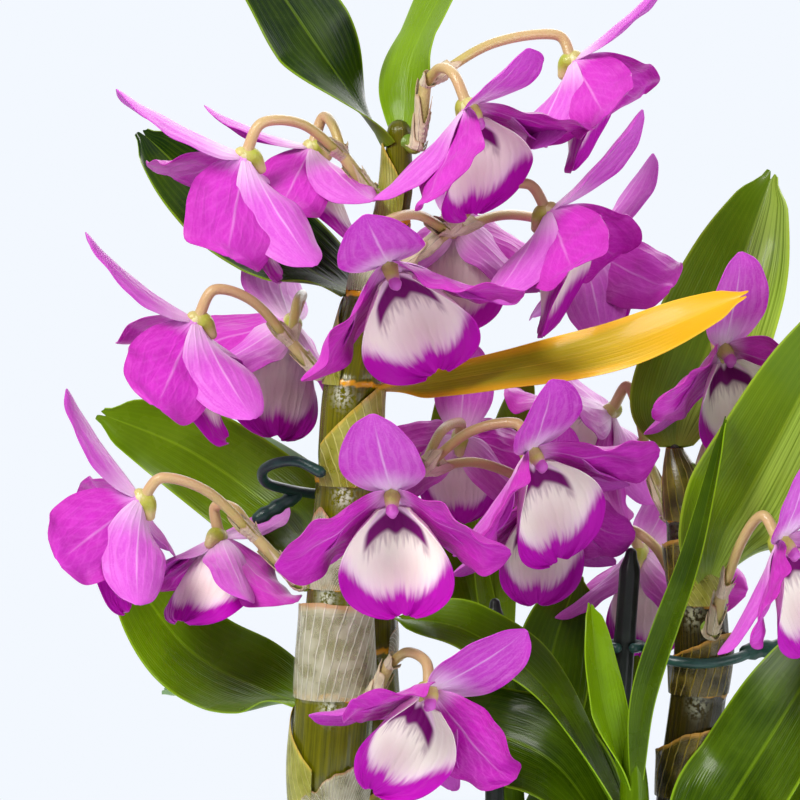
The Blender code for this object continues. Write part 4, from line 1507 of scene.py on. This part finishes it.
@dataclass(frozen=True)
class Lip:
    """The lip of a bloom of full scale: a funnel round the column that opens into a round dish."""

    length: float = 34.5
    rows: tuple[tuple[float, float, float], ...] = (
        (0.0, 9.4, 104), (0.06, 13.4, 101), (0.14, 17.8, 95), (0.28, 20.8, 83), (0.46, 21.4, 68),
        (0.64, 20.0, 56), (0.79, 17.2, 47), (0.9, 13.0, 40), (0.97, 8.4, 33), (1.0, 4.4, 28),
    )
    frill: float = 0.7

    def shape(self, flower: Flower, rng: random.Random, steps: int = 40, columns: int = 37) -> Shape:
        """Makes it in place on a bloom.

        Args:
            flower: The bloom.
            rng: Where its own small differences come from.
            steps: How many rows of points it has.
            columns: How many points each row has.

        Returns:
            The thin frilled dish, its patterned face turned inwards.
        """
        down, rise = unit((0, -1.0, 0.95)), unit((0, 0.95, 1.0))
        start = np.array((0, -4.6, 1.8))
        across, along = np.linspace(1, -1, columns), np.linspace(0, 1, steps) ** 0.9
        table = smooth_line(self.rows, 160)
        phases = [rng.uniform(0, math.tau) for _ in range(3)]
        grid = np.zeros((steps, columns, 3))
        for row, place in enumerate(along):
            half = np.interp(place, table[:, 0], table[:, 1])
            curl = math.radians(np.interp(place, table[:, 0], table[:, 2]))
            middle = start + place * self.length * down + 2.0 * place ** 2 * rise
            turn = curl * across
            reach = half / curl
            wave = np.sin(7 * across + phases[0]) + 0.6 * np.sin(15 * across + phases[1] + 3 * place)
            edge = np.maximum(np.abs(across) ** 4, ease(place, 0.72, 1.0))
            frill = self.frill * wave * edge * ease(place, 0.2, 0.5)
            roll = -2.2 * edge * ease(place, 0.35, 0.8)
            groove = -0.7 * np.exp(-(across / 0.13) ** 2) * (1 - ease(place, 0.7, 1.0))
            notch = -1.2 * np.exp(-(across / 0.3) ** 2) * ease(place, 0.86, 1.0)
            up = (1 - np.cos(turn)) * reach + frill + roll + groove
            grid[row] = middle + np.outer(np.sin(turn) * reach, (1, 0, 0))
            grid[row] += np.outer(up, rise) + np.outer(notch, down)
        return blade(flower.place(grid), across, along, 0.7, 0.35, rng.uniform(0, 0.2))


@dataclass(frozen=True)
class HeartPart:
    """One rounded part at the heart of a bloom of full scale.

    Attributes:
        label: The end of its piece's name.
        finish: Its finish.
        line: How far up and to the front each point of its middle line lies.
        radii: Its radius at its start, at its fullest place and at its end.
        fullest: Where that place is, as a share of the line.
        count: How many points the line is sampled at.
        sides: How many points go round.
    """

    label: str
    finish: StemFinish
    line: tuple[tuple[float, float], ...]
    radii: tuple[float, float, float]
    fullest: float
    count: int
    sides: int = 20


HEART = (
    HeartPart("column", COLUMN, ((0.2, -0.5), (0.6, 1.4), (0.9, 3.0), (0.6, 4.6), (0.0, 5.6)),
              (2.6, 2.3, 1.7), 0.5, 20),
    HeartPart("anther", ANTHER, ((0.8, 5.2), (0.0, 6.5), (-0.9, 6.8)), (1.7, 2.0, 1.3), 0.5, 10, 16),
    HeartPart("chin", CHIN, ((1.0, -0.6), (-2.8, -1.4), (-6.6, 0.4)), (2.3, 2.9, 1.6), 0.4, 14),
)


@dataclass
class Spray:
    """A spray: a stalk from its cane, and blooms on arching pedicels.

    Attributes:
        name: The spray's name.
        cane: The cane that it grows from.
        height: The height at which it leaves the cane.
        fork: Where its pedicels part.
        blooms: For each bloom its middle, azimuth, nod, roll and scale.
        highest_arch: How far a pedicel may arch.
        stalk_steps: How many points the stalk's line has.
        pedicel_steps: How many points a pedicel's line has.
        bract_grid: How many rows and columns of points a bract has.
        bract_reach: How far a bract wraps to each side, in radians.
    """

    name: str
    cane: str
    height: float
    fork: Point
    blooms: tuple[tuple[Point, float, float, float, float], ...]
    highest_arch: float = 4.5
    stalk_steps: int = 24
    pedicel_steps: int = 60
    bract_grid: tuple[int, int] = (14, 25)
    bract_reach: float = 3.0

    def build(self, canes: dict[str, Cane]) -> None:
        """Makes the stalk, the bracts and every bloom.

        Args:
            canes: The canes by name.
        """
        fork = np.array(self.fork, float)
        node = ("spray_" + self.name,)
        middle, radius = canes[self.cane].at(self.height)
        away = unit((fork - middle) * (1, 1, 0))
        root = middle + away * (radius - 1)
        stalk = smooth_line((root, root + 4 * away, fork), self.stalk_steps)
        sleeves = [self.sleeve(stalk, 0.2, 0.75, 2.4, 3.0), self.sleeve(stalk, 0.55, 1.0, 2.2, 2.8)]
        tapered(stalk, (0, 0.2, 1), (3.0, 2.2, 1.9)).piece(f"spray_{self.name}_stalk", STALK, "petal", node)
        for index, bloom in enumerate(self.blooms, 1):
            flower = Flower(*bloom)
            rng = random.Random(f"{self.name} {index}")
            label = f"bloom_{self.name}_{index}"
            for kind, finish, tepals in (("sepals", SEPAL, (DORSAL, *LATERALS)), ("petals", PETAL, PETALS)):
                Shape.joined([tepal.shape(flower, rng) for tepal in tepals]).piece(
                    f"{label}_{kind}", finish, "petal", node)
            Lip().shape(flower, rng).piece(label + "_lip", LIP, "lip", (f"lip_{self.name}_{index}",))
            pedicel = self.pedicel(flower, fork)
            tapered(pedicel, (0, 0.4, 0.7, 0.88, 1), (1.5, 1.6, 1.75, 2.3, 2.6)).piece(
                label + "_pedicel", PEDICEL, "petal", node)
            for part in HEART:
                line = smooth_line([flower.at(0, up, front) for up, front in part.line], part.count)
                tapered(line, (0, part.fullest, 1), part.radii, part.sides).piece(
                    f"{label}_{part.label}", part.finish, "petal", node)
            sleeves.append(self.sleeve(pedicel, 0.0, 0.13, 1.9, 2.7))
        Shape.joined(sleeves).piece(f"spray_{self.name}_bracts", BRACT, "petal", node)

    def pedicel(self, flower: Flower, fork: np.ndarray) -> np.ndarray:
        """The middle line of a pedicel.

        Args:
            flower: The bloom that it carries.
            fork: Where it starts.

        Returns:
            Its points, arching from the fork into the back of the bloom.
        """
        back = flower.at(0, -1, -9) + np.array((0, 0, 3))
        lift = np.array((0, 0, min(0.2 * np.linalg.norm(back - fork), self.highest_arch)))
        arch = fork * 0.5 + back * 0.5 + lift
        return smooth_line((fork, arch, back, flower.at(0, 0, -2), flower.at(0, 0, 1.0)), self.pedicel_steps)

    def sleeve(self, line: np.ndarray, start: float, end: float, near: float, far: float) -> Shape:
        """A papery bract round a stalk.

        Args:
            line: The stalk's middle line.
            start: Where the bract starts, as a share of the line.
            end: Where it ends.
            near: Its radius at its foot.
            far: Its radius at its torn end.

        Returns:
            The wrapped skin, open along one side.
        """
        count = len(line)
        rows, columns = self.bract_grid
        last = rows - 1
        after = max(int(end * (count - 1)) + 1, int(start * count) + 3)
        part = smooth_line(line[int(start * (count - 1)):after], rows)
        forward = unit(part[-1] - part[0])
        side = unit(np.cross(forward, (0.2, 0.3, 0.93)))
        other = np.cross(forward, side)
        across, along = np.linspace(-1, 1, columns), np.linspace(0, 1, rows)
        grid = np.zeros((rows, columns, 3))
        for column, place in enumerate(across):
            angle = self.bract_reach * place
            out = math.cos(angle) * side + math.sin(angle) * other
            tear = 0.75 + 0.25 * math.cos(1.5 * angle) + 0.12 * math.sin(11 * place + start * 40)
            for row, share in enumerate(along):
                reach = share * tear
                step = int(reach * last)
                centre = part[0] + (part[-1] - part[0]) * reach
                if reach <= 1:
                    centre = part[step] + (part[min(step + 1, last)] - part[step]) * (reach * last % 1)
                radius = near + (far - near) * share ** 2 + 0.1 * math.sin(25 * share)
                grid[row, column] = centre + radius * out
        return blade(grid, across, along, 0.25, 0.6)


@dataclass
class Stake:
    """A slim coated stake with fine ridges and a blunt point."""

    name: str
    foot: Point
    head: Point
    radius: float

    def at(self, height: float) -> np.ndarray:
        """The middle of the stake at a height."""
        foot, head = np.array(self.foot, float), np.array(self.head, float)
        return foot + (height - foot[2]) / (head[2] - foot[2]) * (head - foot)

    def build(self) -> None:
        """Makes the stake."""
        count, sides = 160, 36
        line = [self.at(height) for height in np.linspace(self.foot[2], self.head[2] - 1, count)]
        turns = np.linspace(0, math.tau, sides, endpoint=False)
        ribs = 1 + 0.035 * np.cos(9 * turns)
        knots = 1 + 0.05 * np.exp(-((np.arange(count)[:, None] % 40 - 20) / 1.5) ** 2)
        taper = 1 - 0.45 * ease(np.linspace(0, 1, count), 0.975, 1.0)
        tube(np.array(line), self.radius * ribs * knots * taper[:, None], sides).piece(
            f"stake_{self.name}_rod", STAKE_COAT, "stake", ("stake_" + self.name,))


@dataclass
class Clip:
    """A plant clip: a ring round its stake, a hook round its cane, and a lug to press."""

    name: str
    height: float
    side: int
    hook: tuple[Point, ...]
    lug: tuple[Point, Point]
    lug_radius: float
    wire: float = 1.6
    gap: float = 0.4
    ring_turns: tuple[float, float] = (-60, 240)
    ring_steps: int = 48
    hook_steps: int = 70

    def build(self, stake: Stake) -> None:
        """Makes the clip.

        Args:
            stake: The stake that it grips.
        """
        reach = stake.radius + self.wire + self.gap
        middle = stake.at(self.height)
        turns = np.radians(np.linspace(*self.ring_turns, self.ring_steps))
        ring = [middle + reach * np.array((math.cos(turn), math.sin(turn), 0)) for turn in turns]
        grip = middle + self.side * reach * np.array((1, 0, 0))
        hook = smooth_line((grip, *self.hook), self.hook_steps)
        lug = np.array(self.lug, float)
        ends = np.linspace(0, 1, 12)
        lug_line = lug[0] + ends[:, None] * (lug[1] - lug[0])
        Shape.joined([
            tube(np.array(ring), self.wire, 20),
            tube(hook, self.wire * (1 + 0.12 * ease(np.linspace(0, 1, self.hook_steps), 0.9, 1.0)), 20),
            tube(lug_line, self.lug_radius * (1 - 0.12 * np.cos(ends * math.tau * 3)), 20),
        ]).piece(f"clip_{self.name}_wire", CLIP_COAT, "clip", ("clip_" + self.name,))


@dataclass
class Studio:
    """The floor, the soft lights and the camera."""

    target: Point = (-27.7, 0.0, 328.0)
    distance: float = 1200.0
    elevation: float = 5.0
    lens: float = 175.5
    floor_radius: float = 900.0
    floor_sides: int = 128
    lights: tuple[tuple[str, Point, float, float, Colour], ...] = (
        ("key", (-700, -900, 1100), 420, 19, (1.0, 0.98, 0.95)),
        ("fill", (900, -800, 500), 700, 7, (0.95, 0.97, 1.0)),
        ("back", (300, 900, 900), 1000, 8, (1.0, 1.0, 1.0)),
    )
    backdrop: Colour = linear(243, 248, 255)
    backdrop_light: float = 0.85
    dim: tuple[float, ...] = (0.22, 0.23, 0.25, 1.0)
    bright: tuple[float, ...] = (0.96, 0.98, 1.0, 1.0)

    def aimed(self, name: str, data: bpy.types.ID, place: Vector) -> bpy.types.Object:
        """Sets up a light or camera that looks at the flowers.

        Args:
            name: Its name.
            data: The light or camera.
            place: Where it stands.

        Returns:
            The object.
        """
        made = placed(name, data)
        made.location = place * MM
        made.rotation_euler = (Vector(self.target) * MM - made.location).to_track_quat("-Z", "Y").to_euler()
        return made

    def area(self, name: str, place: Point, size: float, power: float, colour: Colour) -> None:
        """Adds a soft light that points at the flowers.

        Args:
            name: The light's name.
            place: Where it stands.
            size: The length of its sides.
            power: Its power in watts.
            colour: Its colour.
        """
        light = bpy.data.lights.new(name, "AREA")
        light.shape = "SQUARE"
        light.size = size * MM
        light.energy = power
        light.color = colour
        self.aimed(name, light, Vector(place))

    def build(self) -> None:
        """Makes the floor, the light and the camera."""
        floor = bpy.data.meshes.new("floor")
        turns = np.linspace(0, math.tau, self.floor_sides, endpoint=False)
        rim = self.floor_radius * MM * np.stack([np.cos(turns), np.sin(turns), np.zeros(len(turns))], 1)
        floor.from_pydata(rim.tolist(), [], [list(range(len(turns)))])
        floor.materials.append(FLOOR.material())
        placed("floor", floor)
        world = bpy.data.worlds.new("studio")
        bpy.context.scene.world = world
        world.use_nodes = True
        w = Wiring(world.node_tree)
        seen = world.node_tree.nodes["Background"]
        seen.inputs["Color"].default_value = (*self.backdrop, 1)
        _, behind, above = w.parted(w.fed("ShaderNodeTexCoord", {}, "Generated"))
        bright = w.step(behind * 0.8 + above, -0.35, 1.0)
        colour = w.blend(bright, self.dim, self.bright)
        lit = w.fed("ShaderNodeBackground", {"Color": colour, "Strength": self.backdrop_light})
        in_view = w.fed("ShaderNodeLightPath", {}, "Is Camera Ray")
        mix = w.fed("ShaderNodeMixShader", {0: in_view, 1: lit, 2: Value(w, seen.outputs[0])})
        w.feed(world.node_tree.nodes["World Output"].inputs["Surface"], mix)
        for light in self.lights:
            self.area(*light)
        camera = bpy.data.cameras.new("camera")
        camera.lens = self.lens
        camera.sensor_width = 36
        camera.clip_start = 0.05
        rise = math.radians(self.elevation)
        away = self.distance * Vector((0, -math.cos(rise), math.sin(rise)))
        bpy.context.scene.camera = self.aimed("camera", camera, Vector(self.target) + away)
        bpy.context.scene.view_settings.view_transform = "Standard"


def make_canes() -> dict[str, Cane]:
    """The three canes by name, with their dry sheaths."""
    main = Cane(
        "main",
        (
            (-40, 4, 58, 8.5), (-43, 3, 100, 9.5), (-48, 1, 150, 11.0), (-50, 0, 203, 11.8),
            (-48, 0, 237, 12.0), (-47, 0, 271, 9.2), (-44, 0, 303, 9.6), (-42, 0, 334, 8.8),
            (-36, 0, 363, 7.2), (-29, 0, 389, 5.0), (-28, 0, 411, 3.6),
        ),
        (130, 166, 203, 237, 271, 303, 334, 360, 384),
        GREEN_CANE,
        (
            ("foot", Sheath(112, 129, 20, 150, 0.3, 0.5), PAPER),
            ("low", Sheath(130, 150, -60, 130, -0.2, 0.6), PAPER),
            ("lower", Sheath(166, 192, 70, 120, 0.4, 0.7), PAPER),
            ("torn", Sheath(203, 217, 22, 60, 0.2, 0.75, 1.2, 2.5), PAPER),
            ("middle", Sheath(237, 267, 5, 172, -0.15, 0.22, 1.4, 0.8), PAPER),
            ("peaked", Sheath(271, 297, -48, 66, 0.1, 0.9, 1.2, 1.0), PAPER),
            ("upper", Sheath(363, 373, 10, 120, -0.5, 0.5, 1.0, 0.6), PAPER),
        ),
    )
    side = Cane(
        "side",
        (
            (42, 4, 58, 6.5), (46, 3, 100, 7.0), (54, 1, 150, 7.6), (60, 0, 203, 8.2), (65, 0, 240, 8.5),
            (65, 0, 262, 8.2), (62, 0, 284, 7.4), (59, 1, 304, 4.4), (57, 2, 313, 1.5),
        ),
        (132, 170, 206, 238, 266, 292),
        DARK_CANE,
        (
            ("low", Sheath(132, 158, 40, 140, 0.2, 0.5), STRIPED_SHEATH),
            ("middle", Sheath(170, 196, -40, 130, -0.3, 0.5), STRIPED_SHEATH),
            ("lower", Sheath(206, 228, -10, 130, 0.3, 0.55), STRIPED_SHEATH),
            ("upper", Sheath(238, 258, 30, 130, 0.3, 0.55), STRIPED_SHEATH),
            ("high", Sheath(266, 288, -20, 140, 0.1, 0.4), STRIPED_SHEATH),
            ("crown", Sheath(292, 317, 30, 178, 0.1, 0.1, 0.8, 0.6), LEAFY_SHEATH),
        ),
    )
    back = Cane(
        "back",
        (
            (-28, 34, 58, 7.5), (-31, 33, 100, 8.5), (-34, 32, 160, 9.6), (-36, 31, 205, 9.8),
            (-37, 31, 240, 8.4), (-37, 32, 268, 6.4), (-36, 33, 284, 4.2),
        ),
        (136, 178, 215, 246, 268),
        GREEN_CANE,
        (
            ("low", Sheath(136, 164, 150, 140, 0.1, 0.5), PAPER),
            ("middle", Sheath(178, 206, 30, 130, 0.2, 0.5), FRESH_SHEATH),
            ("upper", Sheath(246, 262, 170, 130, 0.0, 0.6), PAPER),
        ),
    )
    return {cane.name: cane for cane in (main, side, back)}


class Green(Enum):
    """How bright a leaf's green is, from old and dark to young."""

    DARK = 0.02
    DEEP = 0.2
    MID = 0.5
    FRESH = 0.9


def make_leaves() -> list[Leaf]:
    """The leaves of the canes."""
    return [
        Leaf("top_left", "main", 406, Blade(
            ((-49, -4, 430), (-66, -8, 455), (-83, -12, 478)), 30, (0.5, -0.8, 0.4),
            Green.DARK.value), LEAF, 100),
        Leaf("top_right", "main", 409, Blade(
            ((-24, 10, 432), (-14, 14, 454), (-5, 15, 475)), 24, (-0.8, -0.5, 0.3),
            Green.FRESH.value), LEAF),
        Leaf("upper_left", "main", 360, Blade(
            ((-58, 22, 368), (-84, 34, 386), (-110, 40, 410)), 34, (0.3, -0.8, 0.5),
            Green.DARK.value), LEAF, 110),
        Leaf("middle_left", "main", 274, Blade(
            ((-58, 26, 280), (-70, 46, 290), (-96, 54, 307), (-125, 56, 319)), 34, (0.2, -0.93, 0.3),
            Green.MID.value), LEAF, 100),
        Leaf("lower_left", "main", 232, Blade(
            ((-70, 20, 234), (-96, 34, 246), (-119, 42, 276)), 34, (0.3, -0.8, 0.5),
            Green.MID.value), LEAF, 110),
        Leaf("yellow", "main", 332, Blade(
            ((-8, -15, 336), (36, -30, 346), (76, -38, 363)), 20, (0.1, -0.75, 0.65), 0.1,
            outline=NARROW_FOOT), YELLOW_LEAF, 120),
        Leaf("back_narrow", "back", 266, Blade(
            ((-52, 58, 288), (-78, 68, 306), (-98, 70, 317)), 18, (0.1, -0.6, 0.8), 0.5), GREY_LEAF, 90),
        Leaf("back_low", "back", 222, Blade(
            ((-62, 46, 229), (-84, 56, 230), (-105, 60, 228)), 20, (0.1, -0.3, 0.9), 0.4), GREY_LEAF, 90),
        Leaf("side_upright", "side", 314, Blade(
            ((60, 14, 324), (69, 30, 340), (80, 42, 366), (91, 46, 397)), 38, (-0.3, -0.95, 0.1), 0.45),
            STREAKED_LEAF, 110),
        Leaf("side_tall", "side", 274, Blade(
            ((71, -15, 288), (79, -21, 304), (93, -33, 334), (110, -38, 368)), 36, (0.15, -0.98, 0.1), 0.5),
            STREAKED_LEAF, 110),
        Leaf("side_front", "side", 186, Blade(
            ((72, -18, 204), (90, -20, 234), (110, -16, 266)), 36, (-0.5, -0.8, 0.3),
            Green.DEEP.value), LEAF, 100),
        Leaf("side_low", "side", 166, Blade(
            ((80, 14, 178), (98, 20, 204), (116, 20, 230)), 30, (-0.4, -0.8, 0.4),
            Green.MID.value), LEAF, 100),
    ]


def make_shoots() -> list[Shoot]:
    """The two young growths."""
    return [
        Shoot("young", (
            (38, -22, 58, 4.5), (40, -22, 100, 6.0), (43, -19, 160, 5.5), (44, -17, 206, 4.6),
            (43, -15, 226, 2.6),
        ), (
            Blade(((44, -17, 204), (46, -22, 236), (54, -27, 262), (62, -31, 288), (70, -34, 326)), 8.5,
                  (-0.6, -0.8, 0.1), 0.22),
            Blade(((43, -17, 204), (36, -19, 228), (32, -20, 248), (30, -20, 268)), 13,
                  (0.5, -0.85, 0.0), 0.9),
            Blade(((43, -17, 196), (18, -10, 238), (-6, -4, 256), (-29, 4, 260)), 22, (0.5, -0.6, 0.6), 0.4),
            Blade(((42, -18, 184), (22, -9, 214), (2, 0, 224), (-18, 3, 229)), 32, (0.2, -0.9, 0.35), 0.15),
        )),
        Shoot("rear", (
            (8, 30, 58, 4.5), (9, 32, 100, 6.0), (8, 34, 170, 5.4), (6, 36, 226, 4.2), (5, 37, 250, 2.4),
        ), (
            Blade(((5, 36, 232), (-6, 52, 264), (-11, 62, 300), (-11, 66, 334)), 16, (-0.2, -0.98, 0.0), 0.7),
            Blade(((5, 36, 236), (2, 54, 270), (6, 66, 304), (14, 70, 334)), 16, (0.3, -0.95, 0.0), 0.7),
            Blade(((7, 35, 200), (17, 42, 222), (22, 46, 246), (30, 50, 268)), 26, (0.2, -0.9, 0.3), 0.3),
            Blade(((7, 34, 180), (30, 40, 206), (42, 46, 232), (48, 54, 256)), 24, (-0.2, -0.9, 0.3), 0.4),
        )),
    ]


def make_sprays() -> list[Spray]:
    """The sprays with their blooms."""
    return [
        Spray("top", "main", 407, (-20, -5, 425), (
            ((-7, -22, 418), 62, 57, 32, 0.95), ((26, 8, 432), 80, 45, 8, 0.88))),
        Spray("upper_left", "main", 392, (-45, -3, 403), (
            ((-75, -17, 403), -100, 57, -30, 1.04), ((-55, 8, 405), -88, 68, 0, 0.82))),
        Spray("upper_right", "main", 372, (-13, -3, 380), (
            ((-31, -42, 372), 36, 60, 46, 1.04), ((18, -6, 386), 76, 45, 0, 0.98),
            ((31, 41, 372), 110, 40, 0, 0.9), ((-10, 30, 382), 165, 50, 0, 0.9))),
        Spray("middle_left", "main", 337, (-61, -4, 346), (
            ((-90, -12, 353), -97, 54, -18, 1.0), ((-62, 25, 350), -140, 50, 20, 0.95))),
        Spray("middle_right", "main", 303, (-21, -8, 307), (
            ((-30, -44, 304), 0, 52, 6, 1.0), ((12, -21, 314), 45, 44, 27, 0.94),
            ((14, 12, 294), 14, 34, 0, 0.8), ((-9, 26, 314), 180, 25, 0, 0.75))),
        Spray("lower_left", "main", 272, (-72, -5, 286), (
            ((-107, -14, 299), -104, 32, -10, 0.93), ((-84, 10, 284), 146, 80, 0, 0.8))),
        Spray("lower_right", "main", 237, (-31, -14, 248), (((-19, -33, 243), 2, 40, -42, 0.9),)),
        Spray("side_left", "side", 292, (50, 16, 306), (((38, 25, 322), -105, 45, -80, 0.85),)),
        Spray("side_top", "side", 306, (71, 0, 326), (((71, -7, 344), 26, 36, 10, 0.85),)),
        Spray("side_right", "side", 258, (70, -20, 270), (((86, -40, 289), 50, 37, 25, 0.92),)),
        Spray("side_back", "side", 255, (61, 19, 264), (((49, 36, 276), 150, 45, 0, 0.86),)),
    ]


# Where the shoots and the stakes leave the bark, with their radii, so that no chip lies across them.
SHOOT_FEET = (((40, -22), 6.0), ((9, 32), 6.0))
STAKE_FEET = (((-46, 20), 3.0), ((2, 14), 3.0), ((32, 4), 3.2))


def make_supports() -> None:
    """Builds the stakes and the clips that grip them."""
    stakes = {stake.name: stake for stake in (
        Stake("left", (-47, 20.5, 58), (-41, 16, 318), 2.7),
        Stake("middle", (2, 14, 58), (2, 14, 264), 2.9),
        Stake("right", (29, 4, 58), (44, 4, 281), 3.2),
    )}
    for stake in stakes.values():
        stake.build()
    Clip(
        "left", 296, -1,
        ((-54, 17, 297), (-62, 11, 299), (-69, 4, 302), (-70, -1, 306), (-66, -6, 309), (-59, -10, 310),
         (-52, -12, 307)),
        ((-60, 13, 297), (-72, 12, 290)), 2.2,
    ).build(stakes["left"])
    Clip(
        "right", 251, 1, ((53, -8, 249), (64, -12, 248), (75, -9, 249), (82, -3, 251)),
        ((79, -5, 250.5), (92, -2, 252)), 2.6,
    ).build(stakes["right"])


def main() -> None:
    """Builds the whole plant, its pot and the studio."""
    logging.basicConfig(level=logging.INFO, format="%(name)s: %(message)s")
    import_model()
    Studio().build()
    canes = make_canes()
    pot = Pot()
    pot.build()
    at_bed = [cane.at(BarkBed.level) for cane in canes.values()]
    standing = [(tuple(middle[:2]), radius) for middle, radius in at_bed]
    BarkBed(pot, [*standing, *SHOOT_FEET, *STAKE_FEET]).build()
    for cane in canes.values():
        cane.build()
    make_supports()
    for leaf in make_leaves():
        leaf.build(canes)
    for shoot in make_shoots():
        shoot.build()
    for spray in make_sprays():
        spray.build(canes)
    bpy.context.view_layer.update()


if __name__ == "__main__":
    main()
